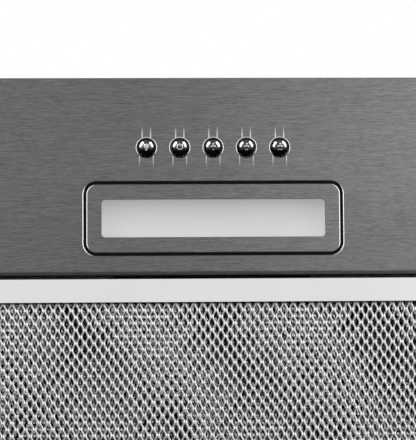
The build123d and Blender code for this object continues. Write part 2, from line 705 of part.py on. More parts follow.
def lamp_clips():
    """Two leaf springs that press the lamp into its seat from behind the fascia."""
    inner = LAMP_BODY_WIDTH / 2
    outer = inner + CLIP_SHEET
    low = LAMP_SEAT_Z + FASCIA_SHEET
    knee = low + CLIP_RISE
    toe = outer + CLIP_SPREAD
    leaf = Polyline(
        (inner, knee - CLIP_SPREAD), (inner, knee), (outer, knee), (toe, low + CLIP_SHEET),
        (toe + 2 * CLIP_SHEET, low + CLIP_SHEET), (toe + 2 * CLIP_SHEET, low),
        (toe - CLIP_SHEET, low), (outer, knee - CLIP_SPREAD / 2), (outer, knee - CLIP_SPREAD),
        (inner, knee - CLIP_SPREAD),
    )
    profile = Plane.XZ * make_face(leaf)
    clip = Pos(0, LAMP_Y, 0) * extrude(profile, CLIP_WIDTH / 2, both=True)
    return group(on_both_sides(clip))


def led_driver():
    """The lamp's driver, hung under the electrics cover by a screw ear at each end."""
    top = COVER_TOP - COVER_SHEET
    body = slab(DRIVER_LENGTH, DRIVER_DEPTH, DRIVER_CORNER, top - DRIVER_HEIGHT, top, LAMP_Y, DRIVER_X)
    body = chamfer(body.edges().group_by(Axis.Z)[0], DRIVER_CORNER / 3)
    ears = slab(
        DRIVER_LENGTH + 2 * DRIVER_EAR, DRIVER_DEPTH / 2, DRIVER_CORNER, top - DRIVER_EAR_THICKNESS, top,
        LAMP_Y, DRIVER_X,
    )
    body += ears
    for x in driver_screw_places():
        body -= rod(COVER_SCREW_RADIUS, (x, LAMP_Y, top - DRIVER_EAR_THICKNESS), (x, LAMP_Y, top))
    return body


def driver_screw_places():
    """The screws through the driver's ears, along X."""
    reach = (DRIVER_LENGTH + DRIVER_EAR) / 2
    return [DRIVER_X - reach, DRIVER_X + reach]


# ---- housing ----


def collar_screw_places():
    """The four screws through collar, housing top and scroll flanges."""
    return [
        (x, COLLAR_Y + y)
        for x in (-COLLAR_SCREW_X, COLLAR_SCREW_X)
        for y in (-COLLAR_SCREW_Y, COLLAR_SCREW_Y)
    ]


def housing_wrap():
    """Front, top and rear of the housing in one bent sheet, with a foot flange front and rear."""
    wrap = rounded_box(
        -HOUSING_X, HOUSING_X, -HOUSING_Y, HOUSING_Y, HOUSING_FOOT_Z, HOUSING_TOP, HOUSING_BEND
    )
    wrap -= rounded_box(
        -HOUSING_X, HOUSING_X, -INSIDE_Y, INSIDE_Y, HOUSING_FOOT_Z, HOUSING_CEILING,
        HOUSING_BEND - HOUSING_SHEET,
    )
    for side in (-1, 1):
        wrap += block(
            -HOUSING_X, HOUSING_X, side * INSIDE_Y, side * (HOUSING_Y + FOOT_FLANGE),
            HOUSING_FOOT_Z, HOUSING_FOOT_Z + HOUSING_SHEET,
        )
        for z in WALL_BEAD_Z:
            wall = Plane(origin=(0, side * HOUSING_Y, z), x_dir=(1, 0, 0), z_dir=(0, side, 0))
            wrap = emboss(wrap, wall, WALL_BEAD_LENGTH)
    for x in (-TOP_BEAD_X, TOP_BEAD_X):
        ceiling = Plane(origin=(x, TOP_BEAD_Y, HOUSING_TOP), x_dir=(0, 1, 0), z_dir=(0, 0, 1))
        wrap = emboss(wrap, ceiling, TOP_BEAD_LENGTH)
    hole = DUCT_RADIUS - COLLAR_WALL - DUCT_HOLE_EDGE
    wrap -= rod(hole, (0, COLLAR_Y, HOUSING_CEILING), (0, COLLAR_Y, HOUSING_TOP))
    wrap -= rod(
        GLAND_THREAD + HOLE_GAP, (GLAND_X, JUNCTION_Y, HOUSING_CEILING), (GLAND_X, JUNCTION_Y, HOUSING_TOP)
    )
    for x, y in collar_screw_places() + clip_screw_places():
        wrap -= rod(COLLAR_SCREW_RADIUS, (x, y, HOUSING_CEILING), (x, y, HOUSING_TOP))
    return wrap


def bracket_screw_places():
    """The screws of one cabinet bracket, along Y."""
    return [-BRACKET_SLOT_PITCH / 2, BRACKET_SLOT_PITCH / 2]


def housing_end():
    """The right end plate: a shallow tray set into the end of the wrap, with a foot flange."""
    inner_x = HOUSING_X - END_FLANGE
    bend = HOUSING_BEND - HOUSING_SHEET
    plate = rounded_box(
        inner_x, HOUSING_X, -INSIDE_Y, INSIDE_Y, HOUSING_FOOT_Z, HOUSING_CEILING, bend
    )
    plate -= rounded_box(
        inner_x, INSIDE_X, -INSIDE_Y + HOUSING_SHEET, INSIDE_Y - HOUSING_SHEET,
        HOUSING_FOOT_Z, HOUSING_CEILING - HOUSING_SHEET, bend - HOUSING_SHEET,
    )
    reach = INSIDE_Y - FOOT_CORNER_GAP
    plate += block(
        INSIDE_X, HOUSING_X + FOOT_FLANGE, -reach, reach, HOUSING_FOOT_Z, HOUSING_FOOT_Z + HOUSING_SHEET
    )
    for y in (-END_BEAD_Y, END_BEAD_Y):
        face = Plane(
            origin=(HOUSING_X, y, HOUSING_CEILING / 2), x_dir=(0, 0, 1), z_dir=(1, 0, 0)
        )
        plate = emboss(plate, face, END_BEAD_LENGTH)
    for y in bracket_screw_places():
        plate -= rod(
            BRACKET_SCREW_RADIUS, (INSIDE_X, y, BRACKET_SCREW_Z), (HOUSING_X, y, BRACKET_SCREW_Z)
        )
    return plate


def cabinet_bracket():
    """The right bracket: an angle with a foot on the cabinet floor and upright slots."""
    outer = HOUSING_X + BRACKET_SHEET
    half = BRACKET_LENGTH / 2
    profile = Polyline(
        (HOUSING_X, CABINET_FLOOR), (HOUSING_X + BRACKET_FOOT, CABINET_FLOOR),
        (HOUSING_X + BRACKET_FOOT, CABINET_FLOOR + BRACKET_SHEET), (outer, CABINET_FLOOR + BRACKET_SHEET),
        (outer, CABINET_FLOOR + BRACKET_HEIGHT), (HOUSING_X, CABINET_FLOOR + BRACKET_HEIGHT),
        (HOUSING_X, CABINET_FLOOR),
    )
    angle = extrude(Plane.XZ * make_face(profile), half, both=True)
    for corner, radius in (
        ((outer, 0, CABINET_FLOOR + BRACKET_SHEET), BRACKET_BEND - BRACKET_SHEET),
        ((HOUSING_X, 0, CABINET_FLOOR), BRACKET_BEND),
    ):
        bend = angle.edges().filter_by(Axis.Y).sort_by_distance(corner)[0]
        angle = fillet(bend, radius)
    slot = SlotOverall(BRACKET_SLOT_HEIGHT, 2 * (BRACKET_SCREW_RADIUS + HOLE_GAP))
    for y in bracket_screw_places():
        face = Plane(origin=(HOUSING_X, y, BRACKET_SCREW_Z), x_dir=(0, 0, 1), z_dir=(1, 0, 0))
        angle -= face * extrude(slot, BRACKET_SHEET)
    for y in (-BRACKET_HOLE_PITCH / 2, BRACKET_HOLE_PITCH / 2):
        angle -= rod(
            BRACKET_HOLE_RADIUS, (BRACKET_HOLE_X, y, CABINET_FLOOR),
            (BRACKET_HOLE_X, y, CABINET_FLOOR + BRACKET_SHEET),
        )
    return angle


def bracket_screws():
    """The screws that clamp both brackets to the housing ends."""
    head = HOUSING_X + BRACKET_SHEET
    length = BRACKET_SHEET + HOUSING_SHEET + NUT_THICKNESS + SCREW_POINT
    screws = []
    for y in bracket_screw_places():
        screw = pan_screw(BRACKET_SCREW_RADIUS, length, (head, y, BRACKET_SCREW_Z), (-1, 0, 0))
        screws += on_both_sides(screw)
    return group(screws)


def bracket_nuts():
    """The nuts behind the housing ends."""
    nuts = []
    for y in bracket_screw_places():
        face = Plane(origin=(INSIDE_X, y, BRACKET_SCREW_Z), z_dir=(-1, 0, 0))
        nut = extrude(RegularPolygon(NUT_ACROSS / 2, 6, major_radius=False), NUT_THICKNESS)
        nut -= extrude(Circle(BRACKET_SCREW_RADIUS), NUT_THICKNESS)
        nuts += on_both_sides(face * nut)
    return group(nuts)


# ---- electrics cover ----


def cover_screw_places():
    """The screws along the cover's lap, along X."""
    return [-COVER_SCREW_PITCH, 0, COVER_SCREW_PITCH]


def electrics_cover():
    """The folded cover over switch, lamp and driver, between them and the fan room."""
    wall = OPENING_FRONT - FASCIA_SHEET
    low = OPENING_FLANGE_TOP - COVER_LAP
    half = INSIDE_X - SLIDE_GAP
    body = rounded_box(
        -half, half, -INSIDE_Y, wall, low, COVER_TOP, HOUSING_BEND
    )
    body -= rounded_box(
        -half, half, -INSIDE_Y, wall - COVER_SHEET, low, COVER_TOP - COVER_SHEET, HOUSING_BEND - COVER_SHEET
    )
    body -= block(-half, half, -INSIDE_Y, -INSIDE_Y + HOUSING_BEND, low, COVER_TOP - COVER_SHEET)
    body += block(
        -half, half, -INSIDE_Y, -INSIDE_Y + COVER_SHEET,
        COVER_TOP - HOUSING_BEND, COVER_TOP + COVER_FRONT_FLANGE,
    )
    body += block(
        -half, half, -INSIDE_Y, -INSIDE_Y + HOUSING_BEND, COVER_TOP - COVER_SHEET, COVER_TOP
    )
    notch = INSIDE_X - END_FLANGE - SLIDE_GAP
    for side in (-1, 1):
        body -= block(
            side * notch, side * (half + 1), -INSIDE_Y, -INSIDE_Y + 2 * HOUSING_SHEET + SLIDE_GAP,
            low, COVER_TOP + COVER_FRONT_FLANGE,
        )
    for x in cover_screw_places():
        body -= rod(
            COVER_SCREW_RADIUS + HOLE_GAP,
            (x, wall - COVER_SHEET, cover_screw_z()), (x, wall, cover_screw_z()),
        )
    for x in driver_screw_places():
        body -= rod(COVER_SCREW_RADIUS, (x, LAMP_Y, COVER_TOP - COVER_SHEET), (x, LAMP_Y, COVER_TOP))
    return body


def electrics_screws():
    """The like screws of the electrics: three in the cover's lap, two in the driver's ears and
    two in the junction box lid."""
    lap = OPENING_FRONT - FASCIA_SHEET - COVER_SHEET
    ear = COVER_TOP - COVER_SHEET - DRIVER_EAR_THICKNESS
    lid = HOUSING_CEILING - JUNCTION_HEIGHT - JUNCTION_LID
    lid_length = JUNCTION_LID + JUNCTION_SCREW_DEPTH
    return group(
        [
            pan_screw(COVER_SCREW_RADIUS, COVER_SHEET + FASCIA_SHEET, (x, lap, cover_screw_z()), (0, 1, 0))
            for x in cover_screw_places()
        ]
        + [
            pan_screw(COVER_SCREW_RADIUS, DRIVER_EAR_THICKNESS + COVER_SHEET, (x, LAMP_Y, ear), (0, 0, 1))
            for x in driver_screw_places()
        ]
        + [
            pan_screw(COVER_SCREW_RADIUS, lid_length, (x, y, lid), (0, 0, 1))
            for x, y in lid_screw_places()
        ]
    )


def cover_screw_z():
    """The level of the screws through the cover into the opening's flange."""
    return OPENING_FLANGE_TOP - COVER_LAP / 2


# ---- junction box, gland, capacitor ----


def junction_box():
    """The moulded box under the housing top, open below, with two lid bosses."""
    low = HOUSING_CEILING - JUNCTION_HEIGHT
    roof = HOUSING_CEILING - JUNCTION_WALL
    shell = slab(
        JUNCTION_WIDTH, JUNCTION_DEPTH, JUNCTION_CORNER, low, HOUSING_CEILING, JUNCTION_Y, JUNCTION_X
    )
    shell -= slab(
        JUNCTION_WIDTH - 2 * JUNCTION_WALL, JUNCTION_DEPTH - 2 * JUNCTION_WALL,
        JUNCTION_CORNER - JUNCTION_WALL, low, roof, JUNCTION_Y, JUNCTION_X,
    )
    for x, y in lid_screw_places():
        shell += rod(JUNCTION_BOSS_RADIUS, (x, y, low), (x, y, roof))
        shell -= rod(COVER_SCREW_RADIUS, (x, y, low), (x, y, low + JUNCTION_SCREW_DEPTH))
    shell -= rod(
        GLAND_THREAD + HOLE_GAP, (GLAND_X, JUNCTION_Y, roof), (GLAND_X, JUNCTION_Y, HOUSING_CEILING)
    )
    return shell


def lid_screw_places():
    """The two screws of the junction box lid, at opposite corners."""
    dx = JUNCTION_WIDTH / 2 - JUNCTION_BOSS_INSET
    dy = JUNCTION_DEPTH / 2 - JUNCTION_BOSS_INSET
    return [(JUNCTION_X - dx, JUNCTION_Y + dy), (JUNCTION_X + dx, JUNCTION_Y - dy)]


def junction_lid():
    """The flat lid on the underside of the junction box."""
    top = HOUSING_CEILING - JUNCTION_HEIGHT
    lid = slab(
        JUNCTION_WIDTH, JUNCTION_DEPTH, JUNCTION_CORNER, top - JUNCTION_LID, top, JUNCTION_Y, JUNCTION_X
    )
    lid = chamfer(lid.edges().group_by(Axis.Z)[0], JUNCTION_LID_CHAMFER)
    for x, y in lid_screw_places():
        lid -= rod(COVER_SCREW_RADIUS + HOLE_GAP, (x, y, top - JUNCTION_LID), (x, y, top))
    return lid


def terminal_block():
    """The supply terminal block against the box's roof, with a wire hole in each pole."""
    roof = HOUSING_CEILING - JUNCTION_WALL
    half_x, half_y = BLOCK_WIDTH / 2, BLOCK_DEPTH / 2
    body = block(
        BLOCK_X - half_x, BLOCK_X + half_x, JUNCTION_Y - half_y, JUNCTION_Y + half_y,
        roof - BLOCK_HEIGHT, roof,
    )
    pitch = BLOCK_WIDTH / BLOCK_POLES
    for index in range(BLOCK_POLES):
        x = BLOCK_X - half_x + pitch * (index + 0.5)
        z = roof - BLOCK_HEIGHT / 2
        body -= rod(BLOCK_HOLE_RADIUS, (x, JUNCTION_Y - half_y, z), (x, JUNCTION_Y + half_y, z))
        body -= rod(BLOCK_HOLE_RADIUS, (x, JUNCTION_Y, roof - BLOCK_HEIGHT), (x, JUNCTION_Y, z))
    return body


def cable_gland():
    """The supply cord's gland: flange on the housing, domed clamp above, thread below."""
    def at(z):
        return (GLAND_X, JUNCTION_Y, z)

    flange_top = HOUSING_TOP + GLAND_FLANGE_HEIGHT
    dome_top = flange_top + GLAND_DOME_HEIGHT
    body = Pos(*at(HOUSING_TOP)) * extrude(
        RegularPolygon(GLAND_FLANGE, 6, major_radius=False), GLAND_FLANGE_HEIGHT
    )
    dome = rod(GLAND_DOME_RADIUS, at(flange_top), at(dome_top))
    body += fillet(dome.edges().group_by(Axis.Z)[-1], GLAND_DOME_RADIUS / 3)
    body += rod(GLAND_THREAD, at(HOUSING_TOP - GLAND_THREAD_LENGTH), at(HOUSING_TOP))
    return body - rod(GLAND_BORE, at(HOUSING_TOP - GLAND_THREAD_LENGTH), at(dome_top))


def gland_nut():
    """The nut that draws the gland against housing and junction box."""
    top = HOUSING_CEILING - JUNCTION_WALL
    nut = extrude(RegularPolygon(GLAND_FLANGE - 1, 6, major_radius=False), -GLAND_NUT_HEIGHT)
    nut = Pos(GLAND_X, JUNCTION_Y, top) * nut
    return nut - rod(
        GLAND_THREAD, (GLAND_X, JUNCTION_Y, top - GLAND_NUT_HEIGHT), (GLAND_X, JUNCTION_Y, top)
    )


def capacitor_z():
    """The level of the capacitor's axis."""
    return HOUSING_CEILING - CAPACITOR_CLIP_SHEET - CAPACITOR_RADIUS


def capacitor():
    """The motor's run capacitor, a round can lying along X."""
    half = CAPACITOR_LENGTH / 2
    can = rod(
        CAPACITOR_RADIUS, (CAPACITOR_X - half, CAPACITOR_Y, capacitor_z()),
        (CAPACITOR_X + half, CAPACITOR_Y, capacitor_z()),
    )
    can = fillet(can.edges().filter_by(GeomType.CIRCLE), CAPACITOR_ROUND)
    for dy in (-CAPACITOR_RADIUS / 3, CAPACITOR_RADIUS / 3):
        y = CAPACITOR_Y + dy
        x = CAPACITOR_X - half
        can += block(
            x - TERMINAL_HEIGHT, x, y - TERMINAL_THICKNESS / 2, y + TERMINAL_THICKNESS / 2,
            capacitor_z() - TERMINAL_WIDTH / 2, capacitor_z() + TERMINAL_WIDTH / 2,
        )
    return can


def capacitor_clip():
    """The band round the capacitor, closed against the housing top by two feet."""
    half = CAPACITOR_CLIP_WIDTH / 2
    outer = CAPACITOR_RADIUS + CAPACITOR_CLIP_SHEET
    ends = [(CAPACITOR_X + dx, CAPACITOR_Y, capacitor_z()) for dx in (-half, half)]
    band = rod(outer, *ends)
    reach = outer + CAPACITOR_CLIP_FOOT
    band += block(
        CAPACITOR_X - half, CAPACITOR_X + half, CAPACITOR_Y - reach, CAPACITOR_Y + reach,
        HOUSING_CEILING - CAPACITOR_CLIP_SHEET, HOUSING_CEILING,
    )
    for x, y in clip_screw_places():
        band -= rod(
            COLLAR_SCREW_RADIUS, (x, y, HOUSING_CEILING - CAPACITOR_CLIP_SHEET), (x, y, HOUSING_CEILING)
        )
    return band - rod(CAPACITOR_RADIUS, *ends)


def clip_screw_places():
    """The two screws through the housing top into the feet of the capacitor's clip."""
    reach = CAPACITOR_RADIUS + CAPACITOR_CLIP_SHEET + CAPACITOR_CLIP_FOOT / 2
    return [(CAPACITOR_X, CAPACITOR_Y - reach), (CAPACITOR_X, CAPACITOR_Y + reach)]


# ---- blower ----


def axis_point(x):
    """A point on the blower's axis."""
    return (x, BLOWER_Y, BLOWER_Z)


def scroll_line():
    """The inside of the scroll seen along X: three quarter arcs about the corners of a small
    square, each larger than the last by the square's side, between two straight outlet walls."""
    step = SCROLL_GROWTH
    centres = [(step / 2, -step / 2), (-step / 2, -step / 2), (-step / 2, step / 2)]
    (a1, b1), (a2, b2), (a3, b3) = [(BLOWER_Y + u, BLOWER_Z + v) for u, v in centres]
    r1, r2, r3 = SCROLL_START, SCROLL_START + step, SCROLL_END
    tongue = TONGUE_RADIUS
    diagonal = cos(radians(45))
    top = HOUSING_CEILING
    return (
        Line((a3 - r3, top), (a3 - r3, b3))
        + ThreePointArc((a3 - r3, b3), (a3 - r3 * diagonal, b3 - r3 * diagonal), (a3, b3 - r3))
        + ThreePointArc((a2, b2 - r2), (a2 + r2 * diagonal, b2 - r2 * diagonal), (a2 + r2, b2))
        + ThreePointArc((a1 + r1, b1), (a1 + r1 * diagonal, b1 + r1 * diagonal), (a1, b1 + r1))
        + ThreePointArc(
            (a1, b1 + r1),
            (a1 - tongue * diagonal, b1 + r1 + tongue * (1 - diagonal)),
            (a1 - tongue, b1 + r1 + tongue),
        )
        + Line((a1 - tongue, b1 + r1 + tongue), (a1 - tongue, top))
    )


def outlet_walls():
    """Where the two straight walls of the outlet stand, along Y."""
    return (
        BLOWER_Y - SCROLL_GROWTH / 2 - SCROLL_END,
        BLOWER_Y + SCROLL_GROWTH / 2 - TONGUE_RADIUS,
    )


def scroll_region():
    """The area that the scroll encloses, with the outlet's straight top."""
    front, rear = outlet_walls()
    return make_face(scroll_line() + Line((rear, HOUSING_CEILING), (front, HOUSING_CEILING)))


def blower_scroll():
    """The curved wall of the blower, from one side plate to the other."""
    outside = offset(scroll_region(), SCROLL_SHEET)
    wall = Plane.YZ * (outside - scroll_region())
    wall = extrude(wall, SCROLL_HALF_WIDTH, both=True)
    wide = 2 * HOUSING_X
    return wall - block(-wide, wide, -wide, wide, HOUSING_CEILING, HOUSING_CEILING + wide)


def inlet_ring():
    """The right inlet's bell mouth, which reaches into the drum's end ring."""
    x_plate = SCROLL_HALF_WIDTH + SCROLL_SHEET
    x_lip = IMPELLER_HALF_WIDTH + INLET_LIP_GAP
    flare = INLET_RADIUS + INLET_FLARE
    sheet = SCROLL_SHEET
    belly = INLET_FLARE * (1 - cos(radians(45)))
    outer = ThreePointArc(
        (x_plate, flare), (x_plate - belly, INLET_RADIUS + belly), (x_lip, INLET_RADIUS)
    )
    inner = ThreePointArc(
        (x_lip, INLET_RADIUS + sheet), (x_plate - sheet - belly, INLET_RADIUS + sheet + belly),
        (x_plate - sheet, flare),
    )
    profile = make_face(
        outer
        + Line((x_lip, INLET_RADIUS), (x_lip, INLET_RADIUS + sheet))
        + inner
        + Line((x_plate - sheet, flare), (x_plate, flare))
    )
    ring = revolve(Plane.XY * profile, Axis.X)
    return Pos(0, BLOWER_Y, BLOWER_Z) * ring


def blower_side(screws):
    """A side of the blower, as seen on the right: plate, bell mouth and a flange under the
    housing top, with holes for the screws of the motor bracket if it carries the motor."""
    x0, x1 = SCROLL_HALF_WIDTH, SCROLL_HALF_WIDTH + SCROLL_SHEET
    plate = Plane.YZ.offset(x0) * extrude(offset(scroll_region(), SCROLL_SIDE_LIP), SCROLL_SHEET)
    wide = 2 * HOUSING_X
    plate -= block(-wide, wide, -wide, wide, HOUSING_CEILING, HOUSING_CEILING + wide)
    plate -= rod(INLET_RADIUS + INLET_FLARE, axis_point(x0), axis_point(x1))
    half = BLOWER_FLANGE_LENGTH / 2
    plate += block(
        x0, x0 + BLOWER_FLANGE, COLLAR_Y - half, COLLAR_Y + half,
        HOUSING_CEILING - SCROLL_SHEET, HOUSING_CEILING,
    )
    for y in (-COLLAR_SCREW_Y, COLLAR_SCREW_Y):
        plate -= rod(
            COLLAR_SCREW_RADIUS, (COLLAR_SCREW_X, COLLAR_Y + y, HOUSING_CEILING - SCROLL_SHEET),
            (COLLAR_SCREW_X, COLLAR_Y + y, HOUSING_CEILING),
        )
    for u, v in screws:
        plate -= rod(
            SPIDER_SCREW_RADIUS, (x0, BLOWER_Y + u, BLOWER_Z + v), (x1, BLOWER_Y + u, BLOWER_Z + v)
        )
    return plate + inlet_ring()


def polar(radius, angle):
    """A point at a radius and an angle in degrees about the blower's axis, seen along X."""
    return (radius * cos(radians(angle)), radius * sin(radians(angle)))


def blade(angle):
    """One forward-curved blade: a thin sheet whose tip leads its root."""
    root, tip = IMPELLER_RADIUS - BLADE_CHORD, IMPELLER_RADIUS - BLADE_SHEET / 4
    middle = (root + tip) / 2
    half = degrees(BLADE_SHEET / (2 * middle))

    def side(shift):
        return [
            polar(root, angle + shift),
            polar(middle, angle - BLADE_BELLY + shift),
            polar(tip, angle - BLADE_SWEEP + shift),
        ]

    ahead, behind = side(-half), side(half)
    outline = (
        ThreePointArc(*ahead)
        + Line(ahead[2], behind[2])
        + ThreePointArc(*reversed(behind))
        + Line(behind[0], ahead[0])
    )
    return make_face(outline)


def on_axis(piece):
    """Moves a piece drawn about X onto the blower's axis."""
    return Pos(0, BLOWER_Y, BLOWER_Z) * piece


def impeller():
    """The double-inlet drum's middle disc and its hub."""
    half_disc, half_hub = IMPELLER_DISC / 2, HUB_LENGTH / 2
    disc = rod(IMPELLER_RADIUS - BLADE_CHORD / 2, (-half_disc, 0, 0), (half_disc, 0, 0))
    disc += rod(HUB_RADIUS, (-half_hub, 0, 0), (half_hub, 0, 0))
    return on_axis(disc - rod(SHAFT_RADIUS, (-half_hub, 0, 0), (half_hub, 0, 0)))


def impeller_blades():
    """The drum's blades, one row on each side of the disc, locked between it and the end rings."""
    start, length = IMPELLER_DISC / 2, IMPELLER_HALF_WIDTH - IMPELLER_RING - IMPELLER_DISC / 2
    blades = []
    for index in range(BLADE_COUNT):
        right = extrude(Plane.YZ.offset(start) * blade(360 / BLADE_COUNT * index), length)
        blades += [on_axis(piece) for piece in on_both_sides(right)]
    return group(blades)


def impeller_rings():
    """The end ring on each side of the drum."""
    inner, outer = IMPELLER_RADIUS - IMPELLER_RING_HEIGHT, IMPELLER_RADIUS
    right = tube(
        inner, outer, (IMPELLER_HALF_WIDTH - IMPELLER_RING, 0, 0), (IMPELLER_HALF_WIDTH, 0, 0)
    )
    return group([on_axis(piece) for piece in on_both_sides(right)])


def motor_start():
    """Where the motor begins, just clear of the drum's hub."""
    return HUB_LENGTH / 2 + MOTOR_HUB_GAP


def motor_end():
    """Where the motor's rear face meets its bracket."""
    return SCROLL_HALF_WIDTH + SCROLL_SHEET


def motor_case():
    """The motor inside the drum: can with cooling flutes, and a neck towards the hub."""
    start, end = motor_start(), motor_end()
    shoulder = start + MOTOR_NECK
    case = rod(MOTOR_RADIUS, axis_point(shoulder), axis_point(end))
    case = fillet(case.edges().filter_by(GeomType.CIRCLE).group_by(Axis.X)[0], MOTOR_ROUND)
    case += rod(MOTOR_NECK_RADIUS, axis_point(start), axis_point(shoulder + 1))
    reach = MOTOR_RADIUS - MOTOR_SLOT_DEPTH
    for index in range(MOTOR_SLOTS):
        u, v = polar(MOTOR_RADIUS, 360 / MOTOR_SLOTS * (index + 0.5))
        flute = rod(
            MOTOR_SLOT_WIDTH / 2, (shoulder + 2 * MOTOR_SLOT_WIDTH, BLOWER_Y + u, BLOWER_Z + v),
            (end - MOTOR_SLOT_WIDTH, BLOWER_Y + u, BLOWER_Z + v),
        )
        case -= flute - rod(reach, axis_point(start), axis_point(end))
    case -= rod(MOTOR_BORE, axis_point(start), axis_point(end))
    for first, last in bearing_spans():
        case -= rod(BEARING_RADIUS, axis_point(first), axis_point(last))
    for u, v in motor_screw_places():
        case -= rod(
            SPIDER_SCREW_RADIUS, (end - MOTOR_SCREW_DEPTH, BLOWER_Y + u, BLOWER_Z + v),
            (end, BLOWER_Y + u, BLOWER_Z + v),
        )
    return case


def bearing_spans():
    """Where the two motor bearings sit along the shaft."""
    return [
        (motor_start(), motor_start() + BEARING_LENGTH),
        (motor_end() - BEARING_LENGTH, motor_end()),
    ]


def motor_bearings():
    """The two sleeve bearings."""
    return group(
        tube(SHAFT_RADIUS + RUNNING_GAP, BEARING_RADIUS, axis_point(first), axis_point(last))
        for first, last in bearing_spans()
    )


def motor_shaft():
    """The shaft, from the far side of the hub to just past the rear bearing."""
    start = -HUB_LENGTH / 2 - SHAFT_END
    shaft = rod(SHAFT_RADIUS, axis_point(start), axis_point(motor_end() + SHAFT_END))
    return chamfer(shaft.edges().filter_by(GeomType.CIRCLE), SHAFT_CHAMFER)


def motor_screw_places():
    """The screws through the bracket into the motor, about the axis."""
    return [polar(SPIDER_SCREWS, angle) for angle in SPIDER_ANGLES]


def arm_screw_places():
    """The screws through the ends of the bracket's arms, about the axis."""
    radius = INLET_RADIUS + INLET_FLARE + SPIDER_REACH / 2
    return [polar(radius, angle) for angle in SPIDER_ANGLES]


def motor_bracket():
    """The three-armed bracket across the right inlet."""
    reach = INLET_RADIUS + INLET_FLARE + SPIDER_REACH
    sketch = Circle(SPIDER_DISC)
    for angle in SPIDER_ANGLES:
        sketch += Rot(0, 0, angle) * Pos(reach / 2, 0) * Rectangle(reach, SPIDER_ARM)
    sketch = fillet(
        [v for v in sketch.vertices() if abs(Vector(v.X, v.Y).length - SPIDER_DISC) < 1],
        SPIDER_FILLET,
    )
    sketch -= Circle(SPIDER_HOLE)
    for u, v in motor_screw_places() + arm_screw_places():
        sketch -= Pos(u, v) * Circle(SPIDER_SCREW_RADIUS)
    plane = Plane.YZ.offset(motor_end())
    return Pos(0, BLOWER_Y, BLOWER_Z) * extrude(plane * sketch, SPIDER_SHEET)


def motor_screws():
    """The six screws of the motor bracket."""
    head = motor_end() + SPIDER_SHEET
    long = SPIDER_SHEET + MOTOR_SCREW_DEPTH
    short = SPIDER_SHEET + SCROLL_SHEET + SCREW_POINT
    places = [(place, long) for place in motor_screw_places()]
    places += [(place, short) for place in arm_screw_places()]
    return group(
        pan_screw(SPIDER_SCREW_RADIUS, length, (head, BLOWER_Y + u, BLOWER_Z + v), (-1, 0, 0))
        for (u, v), length in places
    )


# ---- duct collar and flaps ----


def duct_collar():
    """The round spigot: flange on the housing, ledge under the flaps, bosses for the spindle."""
    inside = DUCT_RADIUS - COLLAR_WALL
    shoulder = COLLAR_TOP - COLLAR_LEAD_IN
    ledge_top = FLAP_Z - FLAP_THICKNESS / 2 - SLIDE_GAP
    ledge = inside - LEDGE_WIDTH
    profile = Polyline(
        (inside, HOUSING_TOP), (COLLAR_FLANGE_RADIUS, HOUSING_TOP),
        (COLLAR_FLANGE_RADIUS, HOUSING_TOP + COLLAR_FLANGE), (DUCT_RADIUS, HOUSING_TOP + COLLAR_FLANGE),
        (DUCT_RADIUS, shoulder), (DUCT_RADIUS - COLLAR_LEAD_IN_STEP, COLLAR_TOP), (inside, COLLAR_TOP),
        (inside, ledge_top), (ledge, ledge_top), (ledge, ledge_top - LEDGE_THICKNESS),
        (inside, ledge_top - LEDGE_THICKNESS - LEDGE_WIDTH), (inside, HOUSING_TOP),
    )
    collar = Pos(0, COLLAR_Y, 0) * revolve(Plane.XZ * make_face(profile), Axis.Z)
    for side in (-1, 1):
        start = (side * (inside - SPINDLE_BOSS_LENGTH), COLLAR_Y, FLAP_Z)
        collar += rod(SPINDLE_BOSS, start, (side * (inside + SPINDLE_END_WALL), COLLAR_Y, FLAP_Z))
        collar -= rod(SPINDLE_RADIUS, start, (side * (inside - SPINDLE_END_WALL), COLLAR_Y, FLAP_Z))
    for x, y in collar_screw_places():
        collar -= rod(
            COLLAR_SCREW_RADIUS + HOLE_GAP, (x, y, HOUSING_TOP), (x, y, HOUSING_TOP + COLLAR_FLANGE)
        )
    return collar


def top_screws():
    """The like screws in the housing top: four hold collar, housing and blower together, and
    two hold the capacitor's clip."""
    head = HOUSING_TOP + COLLAR_FLANGE
    long = COLLAR_FLANGE + HOUSING_SHEET + SCROLL_SHEET + SCREW_POINT
    short = HOUSING_SHEET + CAPACITOR_CLIP_SHEET + SCREW_POINT
    return group(
        [
            pan_screw(COLLAR_SCREW_RADIUS, long, (x, y, head), (0, 0, -1))
            for x, y in collar_screw_places()
        ]
        + [
            pan_screw(COLLAR_SCREW_RADIUS, short, (x, y, HOUSING_TOP), (0, 0, -1))
            for x, y in clip_screw_places()
        ]
    )


def flap_spindle():
    """The fixed rod across the collar that both flaps hang on."""
    end = DUCT_RADIUS - COLLAR_WALL - SPINDLE_END_WALL
    return rod(SPINDLE_RADIUS, (-end, COLLAR_Y, FLAP_Z), (end, COLLAR_Y, FLAP_Z))


def flap(name, side):
    """A half-round flap with two knuckles round the spindle. side is -1 in front, 1 behind."""
    radius = DUCT_RADIUS - COLLAR_WALL - FLAP_EDGE_GAP
    half = FLAP_THICKNESS / 2
    plate = rod(radius, (0, 0, -half), (0, 0, half))
    plate -= block(-radius, radius, -side * radius, side * FLAP_ROOT, -half, half)
    half_knuckle = KNUCKLE_LENGTH / 2
    for x in (-KNUCKLE_X[name], KNUCKLE_X[name]):
        plate += rod(KNUCKLE_RADIUS, (x - half_knuckle, 0, 0), (x + half_knuckle, 0, 0))
        plate += block(
            x - half_knuckle, x + half_knuckle, 0, side * (FLAP_ROOT + half), -half, half
        )
        bore = SPINDLE_RADIUS + RUNNING_GAP
        plate -= rod(bore, (x - half_knuckle, 0, 0), (x + half_knuckle, 0, 0))
    return Pos(0, COLLAR_Y, FLAP_Z) * plate


# ---- grease filter ----


